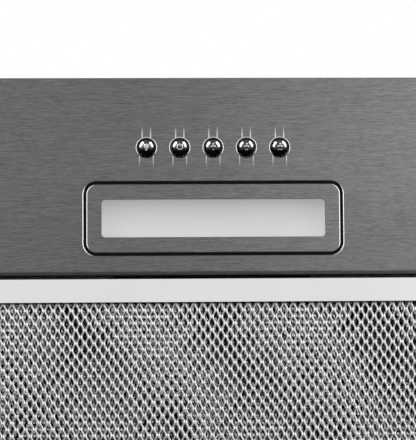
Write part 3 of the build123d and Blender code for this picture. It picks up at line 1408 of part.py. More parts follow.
def filter_frame():
    """The filter's frame: a channel rail open inwards, mitred into a rectangle."""
    rail, top_rail, sheet = FILTER_RAIL, FILTER_TOP_RAIL, FILTER_SHEET
    frame = slab(FILTER_WIDTH, FILTER_DEPTH, FILTER_CORNER, FACE_Z, FILTER_TOP, OPENING_Y)
    frame = fillet(frame.edges().group_by(Axis.Z)[0], sheet)
    frame -= block(
        -FILTER_WIDTH / 2 + sheet, FILTER_WIDTH / 2 - sheet, FILTER_FRONT + sheet, FILTER_REAR - sheet,
        MESH_BOTTOM, MESH_TOP,
    )
    frame -= slab(
        FILTER_WIDTH - 2 * rail, FILTER_DEPTH - 2 * rail, FILTER_CORNER, FACE_Z, MESH_BOTTOM, OPENING_Y
    )
    frame -= slab(
        FILTER_WIDTH - 2 * top_rail, FILTER_DEPTH - 2 * top_rail, FILTER_CORNER, MESH_TOP, FILTER_TOP,
        OPENING_Y,
    )
    for side in (-1, 1):
        end = side * FILTER_WIDTH / 2
        frame -= rod(PIVOT_RADIUS, (end - side * sheet, PIVOT_Y, PIVOT_Z), (end, PIVOT_Y, PIVOT_Z))
    low, high = latch_levels()
    half = LATCH_TONGUE_WIDTH / 2 + SLIDE_GAP
    frame -= block(
        -half, half, FILTER_REAR - sheet, FILTER_REAR, low - SLIDE_GAP, high + SLIDE_GAP
    )
    half = LATCH_POCKET_WIDTH / 2
    y0, y1 = latch_pocket()
    frame -= block(-half, half, y0, y1, FACE_Z, MESH_BOTTOM)
    return frame


def mesh_room():
    """The width and depth inside the frame's channel."""
    return FILTER_WIDTH - 2 * FILTER_SHEET, FILTER_DEPTH - 2 * FILTER_SHEET


def notched(layer):
    """A mesh layer cut clear of the pivot blocks and the latch cup."""
    width, _ = mesh_room()
    x0, y0 = width / 2 - PIVOT_BLOCK_LENGTH - MESH_GAP, FILTER_FRONT + FILTER_SHEET
    for side in (-1, 1):
        layer -= block(
            side * x0, side * width, y0 - MESH_GAP, y0 + PIVOT_BLOCK_DEPTH + MESH_GAP,
            MESH_BOTTOM, MESH_TOP,
        )
    half = LATCH_CUP_WIDTH / 2 + MESH_GAP
    y1 = FILTER_REAR - FILTER_SHEET
    return layer - block(
        -half, half, y1 - LATCH_CUP_DEPTH - MESH_GAP, y1 + MESH_GAP, MESH_BOTTOM, MESH_TOP
    )


def mesh_sheet(z0):
    """One flat sheet of expanded mesh, filling the channel, its underside at z0."""
    width, depth = mesh_room()
    return notched(slab(width, depth, FILTER_SHEET / 2, z0, z0 + MESH_OUTER, OPENING_Y))


def mesh_pleats():
    """The folded inner mesh: pleats along Y whose flat crests touch the outer sheets."""
    width, depth = mesh_room()
    low, high = MESH_BOTTOM + MESH_OUTER, MESH_TOP - MESH_OUTER - PLEAT_SHEET
    folds = 2 * int(width // PLEAT_PITCH)
    fold = PLEAT_PITCH / 2
    start = -(fold * (folds - 1) + PLEAT_CREST) / 2
    wave = []
    for index in range(folds):
        x, z = start + fold * index, high if index % 2 else low
        wave += [(x, z), (x + PLEAT_CREST, z)]
    outline = wave + [(x, z + PLEAT_SHEET) for x, z in reversed(wave)]
    profile = Plane.XZ * make_face(Polyline(*outline, close=True))
    return notched(Pos(0, OPENING_Y, 0) * extrude(profile, depth / 2, both=True))


def filter_pivots():
    """The pivot block in each front corner of the frame, with its pin."""
    inner = FILTER_WIDTH / 2 - FILTER_SHEET
    y0 = FILTER_FRONT + FILTER_SHEET
    pivot = block(inner - PIVOT_BLOCK_LENGTH, inner, y0, y0 + PIVOT_BLOCK_DEPTH, MESH_BOTTOM, MESH_TOP)
    pivot += rod(
        PIVOT_RADIUS, (inner - 1, PIVOT_Y, PIVOT_Z), (FILTER_WIDTH / 2 + PIVOT_LENGTH, PIVOT_Y, PIVOT_Z)
    )
    return group(on_both_sides(pivot))


def latch_levels():
    """The underside and top of the latch slide and its tongue."""
    low = FACE_Z + LATCH_POCKET_HEIGHT + SLIDE_GAP
    return low, low + LATCH_SLIDE_THICKNESS


def latch_pocket():
    """The front and rear walls of the finger pocket, along Y."""
    middle = FILTER_REAR - FILTER_SHEET - LATCH_CUP_DEPTH / 2
    return middle - LATCH_POCKET_DEPTH / 2, middle + LATCH_POCKET_DEPTH / 2


def latch_cup():
    """The cup in the rear rail: a finger pocket below, the slide's chamber above it."""
    rear = FILTER_REAR - FILTER_SHEET
    half, pocket = LATCH_CUP_WIDTH / 2, LATCH_POCKET_WIDTH / 2
    cup = block(-half, half, rear - LATCH_CUP_DEPTH, rear, MESH_BOTTOM, MESH_TOP)
    y0, y1 = latch_pocket()
    low, high = latch_levels()
    cup -= block(-pocket, pocket, y0, y1, MESH_BOTTOM, low - SLIDE_GAP)
    chamber = LATCH_SLIDE_WIDTH / 2 + SLIDE_GAP
    chamber_front = rear - 2 * SLIDE_GAP - LATCH_SLIDE_DEPTH - LATCH_TRAVEL
    return cup - block(-chamber, chamber, chamber_front, rear, low - SLIDE_GAP, high + SLIDE_GAP)


def latch_slide():
    """The slide: a plate in the chamber, a tab for the finger and a tongue through the rail."""
    rear = FILTER_REAR - FILTER_SHEET
    low, high = latch_levels()
    plate_rear = rear - SLIDE_GAP
    half, tab, tongue = LATCH_SLIDE_WIDTH / 2, LATCH_TAB_WIDTH / 2, LATCH_TONGUE_WIDTH / 2
    slide = block(-half, half, plate_rear - LATCH_SLIDE_DEPTH, plate_rear, low, high)
    slide += block(
        -tongue, tongue, plate_rear, OPENING_REAR + FASCIA_SHEET + LATCH_ENGAGE, low, high
    )
    _, pocket_rear = latch_pocket()
    tab_rear = pocket_rear - SLIDE_GAP
    slide += block(-tab, tab, tab_rear - LATCH_TAB_THICKNESS, tab_rear, low - LATCH_TAB_HEIGHT, low)
    return slide


# ---- every node, by name ----


def nodes():
    """All pieces of the hood, each under its own name."""
    end = housing_end()
    pieces = {
        "fascia": fascia(),
        "housing_wrap": housing_wrap(),
        "housing_end_right": end,
        "housing_end_left": mirror(end, Plane.YZ),
        "cabinet_brackets": group(on_both_sides(cabinet_bracket())),
        "bracket_screws": bracket_screws(),
        "bracket_nuts": bracket_nuts(),
        "electrics_cover": electrics_cover(),
        "electrics_screws": electrics_screws(),
        "switch_block": switch_block(),
        "switch_bracket": switch_bracket(),
        "switch_screws": switch_screws(),
        "switch_terminals": switch_terminals(),
        "button_rings": group(button_ring(x) for x in button_places()),
        "lamp_bezel": lamp_bezel(),
        "lamp_diffuser": lamp_diffuser(),
        "lamp_housing": lamp_housing(),
        "led_board": led_board(),
        "lamp_clips": lamp_clips(),
        "led_driver": led_driver(),
        "junction_box": junction_box(),
        "junction_lid": junction_lid(),
        "terminal_block": terminal_block(),
        "cable_gland": cable_gland(),
        "gland_nut": gland_nut(),
        "capacitor": capacitor(),
        "capacitor_clip": capacitor_clip(),
        "blower_scroll": blower_scroll(),
        "blower_side_right": blower_side(arm_screw_places()),
        "blower_side_left": mirror(blower_side([]), Plane.YZ),
        "impeller": impeller(),
        "impeller_blades": impeller_blades(),
        "impeller_rings": impeller_rings(),
        "motor_shaft": motor_shaft(),
        "motor_case": motor_case(),
        "motor_bearings": motor_bearings(),
        "motor_bracket": motor_bracket(),
        "motor_screws": motor_screws(),
        "duct_collar": duct_collar(),
        "top_screws": top_screws(),
        "flap_spindle": flap_spindle(),
        "flap_front": flap("front", -1),
        "flap_rear": flap("rear", 1),
        "filter_frame": filter_frame(),
        "filter_mesh_front": mesh_sheet(MESH_BOTTOM),
        "filter_mesh_core": mesh_pleats(),
        "filter_mesh_rear": mesh_sheet(MESH_TOP - MESH_OUTER),
        "filter_pivots": filter_pivots(),
        "latch_cup": latch_cup(),
        "latch_slide": latch_slide(),
    }
    for name, x in zip(BUTTONS, button_places()):
        pieces[f"cap_{name}"] = button_cap(x)
        pieces[f"plunger_{name}"] = plunger(x)
    return pieces


os.makedirs("parts", exist_ok=True)
for node, shape in nodes().items():
    export_step(shape, f"parts/{node}.step")
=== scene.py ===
"""The looks of a built-in range hood insert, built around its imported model.

The scene is in metres in the model's own frame: +Z runs up through the duct collar, -Y is the
cook's side and X runs to the right along the fascia. Surfaces and finishes are worked out in
millimetres. The photograph looks up at the fascia.
"""
import json
import math

import bmesh
import bpy
import numpy as np
from mathutils import Matrix, Vector

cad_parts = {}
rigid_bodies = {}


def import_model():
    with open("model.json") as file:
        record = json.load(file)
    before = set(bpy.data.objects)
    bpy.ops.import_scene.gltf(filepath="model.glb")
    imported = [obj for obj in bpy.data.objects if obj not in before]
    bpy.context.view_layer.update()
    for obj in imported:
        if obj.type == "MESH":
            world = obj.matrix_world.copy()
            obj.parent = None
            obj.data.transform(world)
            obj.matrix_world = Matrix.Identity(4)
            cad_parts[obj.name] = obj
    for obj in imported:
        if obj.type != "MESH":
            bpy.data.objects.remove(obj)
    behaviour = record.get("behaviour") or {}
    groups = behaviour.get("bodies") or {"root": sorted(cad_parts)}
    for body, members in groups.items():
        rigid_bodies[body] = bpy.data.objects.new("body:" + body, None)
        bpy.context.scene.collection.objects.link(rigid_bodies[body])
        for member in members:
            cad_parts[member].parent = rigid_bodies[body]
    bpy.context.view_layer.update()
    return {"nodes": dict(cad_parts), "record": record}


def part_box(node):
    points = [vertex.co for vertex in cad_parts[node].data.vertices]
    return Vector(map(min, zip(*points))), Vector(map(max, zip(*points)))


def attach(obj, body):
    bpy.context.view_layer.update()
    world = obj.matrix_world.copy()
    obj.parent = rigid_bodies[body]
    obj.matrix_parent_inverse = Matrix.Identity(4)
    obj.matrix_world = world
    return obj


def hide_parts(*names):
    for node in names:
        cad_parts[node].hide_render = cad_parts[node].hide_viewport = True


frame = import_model()
MM = 0.001

# ---- places and sizes on the hood, in millimetres ----
BUTTON_X = {"light": -40.0, "off": -20.0, "speed_1": 0.0, "speed_2": 20.0, "speed_3": 40.0}
BUTTON_Y = -100.6
BUTTON_PITCH = 20.0
FACE_Z = -10.0          # the fascia's underside
SHEET = 0.8             # its thickness
BEZEL_CORNER = 6.0      # radius of the lamp bezel's corners
RAIL = 14.0             # width of the filter's rails, seen from below


def node_box(node):
    """A node's lowest and highest corners in millimetres."""
    low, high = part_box(node)
    return np.array(low) / MM, np.array(high) / MM


# ---------------------------------------------------------------- materials


def math_method(operation, swapped=False):
    """A method of Value that adds one Math node. Swapped puts the other value first."""
    def method(self, *others):
        inputs = [*others, self] if swapped else [self, *others]
        made = self.nodes.node("ShaderNodeMath", {"operation": operation}, inputs)
        return Value(self.nodes, made.outputs[0])

    return method


class Value:
    """A number that changes over a surface. Python's operators on it add Math nodes."""

    __add__ = math_method("ADD")
    __radd__ = math_method("ADD")
    __sub__ = math_method("SUBTRACT")
    __rsub__ = math_method("SUBTRACT", swapped=True)
    __mul__ = math_method("MULTIPLY")
    __rmul__ = math_method("MULTIPLY")
    __truediv__ = math_method("DIVIDE")
    __rtruediv__ = math_method("DIVIDE", swapped=True)
    __pow__ = math_method("POWER")
    __abs__ = math_method("ABSOLUTE")
    __gt__ = math_method("GREATER_THAN")
    __lt__ = math_method("LESS_THAN")
    lower = math_method("MINIMUM")
    higher = math_method("MAXIMUM")
    root = math_method("SQRT")

    def __init__(self, nodes, socket):
        self.nodes = nodes
        self.socket = socket

    def __neg__(self):
        return self * -1.0

    def step(self, start, end):
        """0 below start, 1 above end, smooth between them; reversed where end is lower."""
        down = end < start
        made = self.nodes.node(
            "ShaderNodeMapRange", {"interpolation_type": "SMOOTHSTEP"},
            {
                "Value": self, "From Min": min(start, end), "From Max": max(start, end),
                "To Min": float(down), "To Max": float(not down),
            },
        )
        return Value(self.nodes, made.outputs["Result"])


class Nodes:
    """A shader's node tree, with one way to add nodes to it."""

    def __init__(self, tree):
        self.tree = tree

    def node(self, kind, settings=None, sockets=()):
        """Adds a node: its settings first, then the values or links of its sockets."""
        made = self.tree.nodes.new(kind)
        for key, value in (settings or {}).items():
            setattr(made, key, value)
        for key, value in (sockets.items() if isinstance(sockets, dict) else enumerate(sockets)):
            self.feed(made.inputs[key], value)
        return made

    def feed(self, socket, value):
        """Links a value into a socket, or writes a constant there."""
        if isinstance(value, Value):
            value = value.socket
        if isinstance(value, bpy.types.NodeSocket):
            self.tree.links.new(value, socket)
        elif hasattr(socket.default_value, "__len__") and len(socket.default_value) == 4:
            socket.default_value = (*value, 1.0)[:4]
        else:
            socket.default_value = value


class Finish(Nodes):
    """One procedural material, read on Object coordinates in millimetres."""

    def __init__(self, name, **constants):
        self.material = bpy.data.materials.new(name)
        self.material.use_nodes = True
        super().__init__(self.material.node_tree)
        self.shader = self.tree.nodes["Principled BSDF"]
        self.set(**constants)
        place = self.node("ShaderNodeTexCoord").outputs["Object"]
        self.place = self.scaled(place, 1 / MM)
        apart = self.node("ShaderNodeSeparateXYZ", None, [self.place])
        self.x, self.y, self.z = (Value(self, apart.outputs[axis]) for axis in "XYZ")

    def set(self, **sockets):
        """Feeds the shader's inputs, whose names have _ for a space."""
        for key, value in sockets.items():
            self.feed(self.shader.inputs[key.replace("_", " ")], value)
        return self

    def scaled(self, vector, factor):
        """A colour or a vector times a number, which may change over the surface."""
        made = self.node("ShaderNodeVectorMath", {"operation": "SCALE"}, {0: vector, "Scale": factor})
        return made.outputs[0]

    def stretched(self, sizes, shift=(0, 0, 0)):
        """Object coordinates divided by one length, or by one for each axis, and then shifted."""
        sizes = sizes if hasattr(sizes, "__len__") else (sizes,) * 3
        inverse = tuple(1 / size for size in sizes)
        grain = self.node("ShaderNodeVectorMath", {"operation": "MULTIPLY"}, [self.place, inverse])
        moved = self.node("ShaderNodeVectorMath", {"operation": "ADD"}, [grain.outputs[0], shift])
        return moved.outputs[0]

    def noise(self, sizes, detail=2.0, rough=0.5, shift=(0, 0, 0)):
        """Noise about 0, with grains of one length or of one for each axis."""
        made = self.node(
            "ShaderNodeTexNoise", {"noise_dimensions": "3D"},
            {
                "Vector": self.stretched(sizes, shift), "Scale": 1.0,
                "Detail": detail, "Roughness": rough,
            },
        )
        return Value(self, made.outputs["Fac"]) - 0.5

    def mix(self, amount, first, second):
        """A colour between two colours."""
        colours = {0: amount, 6: first, 7: second}
        return self.node("ShaderNodeMix", {"data_type": "RGBA"}, colours).outputs[2]

    def bump(self, height, depth):
        """Raises the surface by a height from 0 to 1 times a depth."""
        made = self.node(
            "ShaderNodeBump", None, {"Strength": 1.0, "Distance": depth * MM, "Height": height}
        )
        self.set(Normal=made.outputs[0])


# Where the painted highlights on the rounded edges at the ends of the lamp start and end, as
# distances outside the bezel's outline. Each pair is a soft step.
SEAT_GLINT_START = (1.70, 1.80)
SEAT_GLINT_END = (2.22, 2.10)
BEZEL_GLINT_START = (-0.62, -0.48)
FOLD_AHEAD = 1.7        # from the filter's frame forward to the edge of its opening
FRONT_STREAKS_X = 2.5     # from a button's middle to the painted highlight streaks in front of it
REAR_STREAKS_X = 4.1      # and to those behind it


def brushed(name, colour, fascia=False):
    """Dark stainless steel brushed along X, with fine streaks in tone, shine and height, and painted
    light that makes it lighter to the right. The bezel gets a painted highlight on its rounded edge
    at the ends of the lamp. The fascia gets one on its seat's edge instead, painted shade back from
    the buttons and along its fold, and painted highlight streaks beside the buttons."""
    made = Finish(name, Metallic=1.0)
    fine = made.noise((4.0, 0.24, 0.24), 2.0, 0.6)
    coarse = made.noise((15.0, 0.45, 0.45), 3.0, 0.6, shift=(7, 3, 1))
    cloud = made.noise((160.0, 60.0, 60.0), 2.0, shift=(2, 9, 4))
    streaks = 1.0 + 1.4 * fine + 1.1 * coarse + 0.2 * cloud
    # painted light: the steel is made lighter towards the right
    tone = streaks * (0.79 + 0.45 * made.x.step(-75.0, 175.0))
    if fascia:
        # painted shade: the fascia is made a little darker from the buttons back towards the filter
        tone = tone * (1.0 - 0.09 * made.y.step(-100.0, -35.0))
        # painted highlight streaks beside the buttons, and painted shade along the fold
        tone = (tone + 2.8 * painted_highlight_streaks(made)) * opening_shade(made)
    # painted highlight on the rounded edge at the ends of the lamp: the seat's on the fascia, the
    # bezel's on the bezel
    glint = lamp_edge_glint(made, seat=fascia)
    painted_glint_colour = (1.0, 1.0, 1.0) if fascia else (0.75, 0.75, 0.75)
    made.bump(0.5 + 0.6 * fine + 0.4 * coarse, 0.012)
    return made.set(
        Base_Color=made.mix(glint, made.scaled(colour, tone), painted_glint_colour),
        Roughness=0.36 + 0.18 * fine + 0.10 * cloud - 0.2 * glint,
    )


def lamp_edge_glint(made, seat):
    """A painted highlight on the rounded edges at the ends of the lamp: the seat's, or else the bezel's.
    The distance out from the bezel's outline is |max(|p| - (half - r), 0)| - r. The seat's edge
    shines further round its rear corners, and the bezel's round its front ones."""
    low, high = node_box("lamp_bezel")
    half = (high - low)[:2] / 2
    px = made.x - (low[0] + high[0]) / 2
    py = made.y - (low[1] + high[1]) / 2
    qx = (abs(px) - (half[0] - BEZEL_CORNER)).higher(0.0)
    qy = (abs(py) - (half[1] - BEZEL_CORNER)).higher(0.0)
    length = (qx * qx + qy * qy).root()
    distance = length - BEZEL_CORNER
    rearward = qy * ((py > 0.0) * 2.0 - 1.0) * (1.0 if seat else -1.0)
    facing = ((qx + 0.35 * rearward) / (length + 0.001)).step(0.45, 0.80)
    if seat:
        return facing * distance.step(*SEAT_GLINT_START) * distance.step(*SEAT_GLINT_END)
    return facing * distance.step(*BEZEL_GLINT_START)


def opening_shade(made):
    """The fold at the front of the filter opening, where the face turns up out of the light."""
    edge = node_box("filter_frame")[0][1] - FOLD_AHEAD
    fold = made.y.step(edge - 3.0, edge - 2.0) * made.y.step(edge + 1.0, edge + 0.5)
    return 1.0 - 0.62 * fold


def painted_highlight_streaks(made):
    """Painted highlight streaks: thin bright lines that run fore and aft from the rim of each button
    ring and fade out.
    """
    half = BUTTON_PITCH / 2
    row = (abs(made.x) - (max(BUTTON_X.values()) + half)) < 0.0
    wrapped = made.node("ShaderNodeMath", {"operation": "WRAP"}, [made.x, -half, half])
    across = abs(Value(made, wrapped.outputs[0]))
    ahead = BUTTON_Y - made.y
    behind = -ahead
    front = abs(across - FRONT_STREAKS_X).step(0.60, 0.10) * ahead.step(13.8, 6.5) * ahead.step(4.6, 5.6)
    rear = abs(across - REAR_STREAKS_X).step(0.48, 0.10) * behind.step(13.2, 5.0) * behind.step(4.0, 5.0)
    return row * front.higher(0.85 * rear)


def galvanised(name, colour=(0.56, 0.57, 0.58)):
    """Zinc-coated sheet: crystals of differing grey with a soft, uneven shine."""
    made = Finish(name, Metallic=1.0)
    crystals = made.node(
        "ShaderNodeTexVoronoi", {"feature": "F1"},
        {"Vector": made.stretched(9.0), "Scale": 1.0, "Randomness": 1.0},
    )
    apart = made.node("ShaderNodeSeparateColor", None, [crystals.outputs["Color"]])
    crystal = Value(made, apart.outputs[0]) - 0.5
    fern = made.noise(1.6, 3.0)
    wear = made.noise(70.0, 3.0, shift=(4, 4, 4))
    made.bump(0.5 + 0.25 * fern, 0.01)
    return made.set(
        Base_Color=made.scaled(colour, 1.0 + 0.22 * crystal + 0.10 * fern + 0.2 * wear),
        Roughness=0.5 + 0.16 * crystal + 0.1 * fern,
    )


def plain_metal(name, colour, rough, vary=0.12, grain=3.0):
    """Metal with slight clouding and fine wear in its shine."""
    made = Finish(name, Metallic=1.0)
    cloud = made.noise(grain * 6, 3.0)
    fine = made.noise(grain * 0.12, 2.0, shift=(3, 1, 5))
    made.bump(0.5 + 0.5 * fine, 0.006)
    return made.set(
        Base_Color=made.scaled(colour, 1.0 + vary * cloud + 0.5 * vary * fine),
        Roughness=rough + 0.10 * cloud + 0.08 * fine,
    )


def moulded(name, colour, rough=0.45, texture=0.5, depth=0.02, vary=0.10, shine=0.5):
    """Moulded plastic or rubber with a fine spark texture and slight unevenness of colour."""
    made = Finish(name, Metallic=0.0, Specular_IOR_Level=shine)
    spark = made.noise(texture, 2.0)
    cloud = made.noise(25.0, 2.0, shift=(5, 5, 5))
    made.bump(0.5 + 0.5 * spark, depth)
    return made.set(
        Base_Color=made.scaled(colour, 1.0 + vary * cloud + vary * spark),
        Roughness=rough + 0.12 * cloud + 0.08 * spark,
    )


def opal():
    """The opal lens: whitish, with painted shade towards its front edge and its ends from the body
    behind.
    """
    made = Finish("opal_lens", IOR=1.49, Coat_Weight=0.4, Coat_Roughness=0.08)
    low, high = node_box("lamp_diffuser")
    middle_x = (low[0] + high[0]) / 2
    shade = (high[1] - made.y) / (high[1] - low[1])
    ends = abs(made.x - middle_x).step(45.0, 68.0)
    cloud = made.noise((40.0, 12.0, 12.0), 2.0)
    # painted shade: darker towards the front edge and the ends
    light = (1.0 - 0.58 * shade.higher(0.0) ** 2.2) * (1.0 - 0.09 * ends) * (1.0 + 0.05 * cloud)
    return made.set(
        Base_Color=made.scaled((0.805, 0.802, 0.800), light),
        Roughness=0.32 + 0.06 * cloud,
    )


FINISHES = {
    "fascia_steel": brushed("brushed_fascia", (0.161, 0.160, 0.159), fascia=True),
    "galvanised": galvanised("galvanised_sheet"),
    "drum_steel": galvanised("galvanised_drum", (0.50, 0.51, 0.52)),
    "bracket_zinc": plain_metal("zinc_bracket", (0.60, 0.60, 0.58), 0.38, 0.2),
    "screw_zinc": plain_metal("zinc_screws", (0.66, 0.66, 0.64), 0.28, 0.2, 1.0),
    "chrome": plain_metal("chrome", (0.80, 0.81, 0.82), 0.06, 0.05, 2.0),
    "bezel_grey": brushed("brushed_bezel", (0.161, 0.160, 0.159)),
    "opal": opal(),
    "white_plastic": moulded("white_plastic", (0.78, 0.78, 0.75), 0.42),
    "black_plastic": moulded("black_plastic", (0.035, 0.035, 0.037), 0.42, 0.6, 0.03, 0.25),
    "grey_plastic": moulded("grey_plastic", (0.27, 0.28, 0.29), 0.48, 0.7, 0.03),
    "spring_steel": plain_metal("spring_steel", (0.48, 0.49, 0.50), 0.3, 0.15),
    "circuit_white": moulded("circuit_white", (0.82, 0.82, 0.80), 0.35),
    "brass": plain_metal("brass", (0.72, 0.55, 0.26), 0.3, 0.2),
    "filter_aluminium": plain_metal("satin_aluminium", (0.682, 0.68, 0.678), 0.36, 0.05, 6.0),
    "mesh_aluminium": plain_metal("mesh_aluminium", (0.80, 0.81, 0.82), 0.28, 0.10, 2.0),
    "motor_black": moulded("motor_enamel", (0.04, 0.04, 0.043), 0.3, 0.5, 0.02, 0.3),
    "shaft_steel": plain_metal("ground_steel", (0.58, 0.58, 0.58), 0.22, 0.1),
}
SLOT_OF = {part["node"]: part["material_slot"] for part in frame["record"]["subparts"]}
for node, shown in frame["nodes"].items():
    for material_slot in shown.material_slots:
        material_slot.material = FINISHES[SLOT_OF[node]].material


# ---------------------------------------------------------------- surfaces


def grid_faces(rows, columns, close_rows=False, close_columns=False):
    """The squares of a grid of points stored row by row, wrapped round where it is closed."""
    row = np.arange(rows if close_rows else rows - 1)
    column = np.arange(columns if close_columns else columns - 1)
    i, j = np.meshgrid(row, column, indexing="ij")
    i2, j2 = (i + 1) % rows, (j + 1) % columns
    corners = [i * columns + j, i2 * columns + j, i2 * columns + j2, i * columns + j2]
    return np.stack(corners, -1).reshape(-1, 4)


def repeated(faces, count, block):
    """The same faces for each of several blocks of points, stored one after another."""
    first = block * np.arange(count)[:, None, None]
    return (first + faces[None]).reshape(-1, 4)


def make_piece(
    name, points, faces, finish, body, replaced=(), sharp=35.0, weld=0.001, strands=None
):
    """Puts computed points and faces into a mesh object that rides on a body. Points nearer
    than the weld become one, and edges over so many degrees stay sharp."""
    mesh = bpy.data.meshes.new(name)
    mesh.from_pydata((points * MM).tolist(), [], faces.tolist())
    if strands is not None:
        stored = mesh.attributes.new("strand", "FLOAT_VECTOR", "POINT")
        stored.data.foreach_set("vector", strands.astype(np.float32).ravel())
    work = bmesh.new()
    work.from_mesh(mesh)
    bmesh.ops.remove_doubles(work, verts=work.verts, dist=weld * MM)
    bmesh.ops.recalc_face_normals(work, faces=work.faces)
    work.to_mesh(mesh)
    work.free()
    mesh.shade_smooth()
    mesh.set_sharp_from_angle(angle=math.radians(sharp))
    mesh.materials.append(finish.material)
    made = bpy.data.objects.new(name, mesh)
    bpy.context.scene.collection.objects.link(made)
    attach(made, body)
    if replaced:
        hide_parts(*replaced)


def turned_points(profile, centre, segments):
    """A profile of (radius, height) turned about an upright axis: point (i, j) is
    (cx + r_i cos a_j, cy + r_i sin a_j, z_i) with a_j = 2 pi j / segments."""
    angle = np.linspace(0, 2 * np.pi, segments, endpoint=False)
    radius, height = profile[:, :1], profile[:, 1:]
    x = centre[0] + radius * np.cos(angle)
    y = centre[1] + radius * np.sin(angle)
    z = height + 0 * angle
    return np.stack([x, y, z], -1).reshape(-1, 3)


def arc(centre, radius, start, end, count):
    """Points (cx + r cos a, cy + r sin a) with the angle running evenly from start to end."""
    angle = np.radians(np.linspace(start, end, count))
    return np.stack([centre[0] + radius * np.cos(angle), centre[1] + radius * np.sin(angle)], -1)


# ---- push buttons ----

CAP_RADIUS = 5.0
CAP_RISE = 2.7          # of the crown over its shoulder
CAP_TIP = FACE_Z - 3.8
CAP_BACK = -6.9         # height of its flat back, behind the fascia
CAP_EDGE = 0.35         # radius of the edge between crown and skirt
CAP_SEGMENTS = 64
CROWN_POINTS = 26       # along half a crown
EDGE_POINTS = 6
RING_INSIDE = 5.8       # radius of the hole through a ring
RING_WALL = 0.25
RING_BEAD = 0.6         # width of the bead on the face
RING_SEGMENTS = 72
BEAD_POINTS = 14
MARK_SCALE = 1.3


def cap_profile():
    """Half a button cap: a spherical crown, a rolled edge, a straight skirt and a flat back.
    The sphere's radius is (r^2 + h^2) / 2 h for a crown of radius r and height h."""
    sphere = (CAP_RADIUS ** 2 + CAP_RISE ** 2) / (2 * CAP_RISE)
    reach = math.degrees(math.asin((CAP_RADIUS - CAP_EDGE * 0.6) / sphere))
    crown = arc((0, CAP_TIP + sphere), sphere, -90, -90 + reach, CROWN_POINTS)
    crown[0, 0] = 0.0
    shoulder = CAP_TIP + CAP_RISE
    edge = arc((CAP_RADIUS - CAP_EDGE, shoulder + CAP_EDGE * 0.4), CAP_EDGE, -40, 0, EDGE_POINTS)
    back = [(CAP_RADIUS, CAP_BACK), (CAP_RADIUS - CAP_EDGE, CAP_BACK), (0.0, CAP_BACK)]
    return np.vstack([crown, edge, back])


def ring_profile():
    """Half a button ring as a closed loop: bead on the face, tube through the sheet."""
    outside = RING_INSIDE + RING_WALL
    half = RING_BEAD / 2
    bead = arc((RING_INSIDE + half, FACE_Z), half, -180, 0, BEAD_POINTS)
    top = FACE_Z + SHEET + RING_WALL
    rest = [(outside, FACE_Z), (outside, top), (RING_INSIDE, top)]
    return np.vstack([bead, rest])


def pictogram(name, u, v):
    """The mark on a button as a mask: a lamp, a circle with a bar, or one to three bars under
    a small fan. u and v run right and up in the picture, in millimetres from the middle."""
    def disc(cx, cy, radius):
        across, along = u - cx, v - cy
        return (across * across + along * along).root().step(radius + 0.08, radius - 0.08)

    def bar(cx, cy, width, height):
        across = abs(u - cx).step(width / 2 + 0.06, width / 2 - 0.06)
        return across * abs(v - cy).step(height / 2 + 0.06, height / 2 - 0.06)

    if name == "light":
        bulb = disc(0, 0.35, 1.15).higher(bar(0, -0.75, 1.1, 1.0))
        return (bulb - bar(0, -0.72, 1.5, 0.16)).higher(0.0).higher(bar(0, -1.5, 0.8, 0.3))
    if name == "off":
        ring = disc(0, 0, 1.4) - disc(0, 0, 1.0)
        return (ring - bar(0, 1.2, 1.0, 1.2)).higher(0.0).higher(bar(0, 1.0, 0.36, 1.5))
    count = int(name[-1])
    fan = disc(0, 0.55, 0.34)
    for turn in range(3):
        angle = math.radians(90 + 120 * turn)
        fan = fan.higher(disc(0.78 * math.cos(angle), 0.55 + 0.78 * math.sin(angle), 0.42))
    for index in range(count):
        fan = fan.higher(bar(0.8 * (index - (count - 1) / 2), -1.35, 0.56, 0.36))
    return fan


def cap_finish(name):
    """Dark mirror-smooth chrome with a light printed mark on the crown, and painted shading that makes
    it darker at its rim, towards the rear and down the skirt, and lighter towards the front."""
    made = Finish(f"button_{name}")
    u = made.x - BUTTON_X[name]
    v = BUTTON_Y - made.y
    crown = made.z.step(FACE_Z - 1.2, FACE_Z - 1.6)
    mark = pictogram(name, u / MARK_SCALE, v / MARK_SCALE) * crown
    skirt = made.z.step(FACE_Z - 0.9, FACE_Z - 0.5)
    cloud = made.noise(1.2, 2.0)
    made.bump(mark, 0.03)
    inner = (u * u + v * v).root().step(4.9, 4.0)
    # painted shading: darker at the rim and towards the rear, lighter towards the front, and darker down
    # the skirt
    painted_shading = (0.05 + 0.95 * v.step(-2.6, 0.2) + 0.6 * v.step(1.0, 3.6)) * (0.15 + 0.85 * inner)
    tone = painted_shading * (1.0 + 0.2 * cloud) * (1.0 - 0.8 * skirt)
    chrome = made.scaled((0.040, 0.041, 0.043), tone)
    return made.set(
        Base_Color=made.mix(mark, chrome, (0.50, 0.50, 0.49)),
        Metallic=1.0 - 0.7 * mark,
        Roughness=0.05 + 0.02 * cloud + 0.25 * mark + 0.5 * skirt,
    )


def ring_finish():
    """Bright chrome on the rolled bead, with painted shade on its rear arc, and painted shade down
    inside the hole as dull, nearly black metal.
    """
    made = Finish("ring_chrome", Metallic=1.0)
    # painted shade: nearly black down inside the hole
    inside = made.z.step(FACE_Z - 0.1, FACE_Z + 0.1)
    cloud = made.noise(1.5, 2.0)
    # painted shade on the ring's rear arc
    painted_shading = 0.03 + 0.97 * (BUTTON_Y - made.y).step(-5.0, -2.6)
    chrome = made.scaled((0.72, 0.73, 0.74), painted_shading * (1.0 + 0.1 * cloud))
    return made.set(
        Base_Color=made.mix(inside, chrome, (0.010, 0.010, 0.011)),
        Roughness=0.08 + 0.04 * cloud + 0.5 * inside,
    )


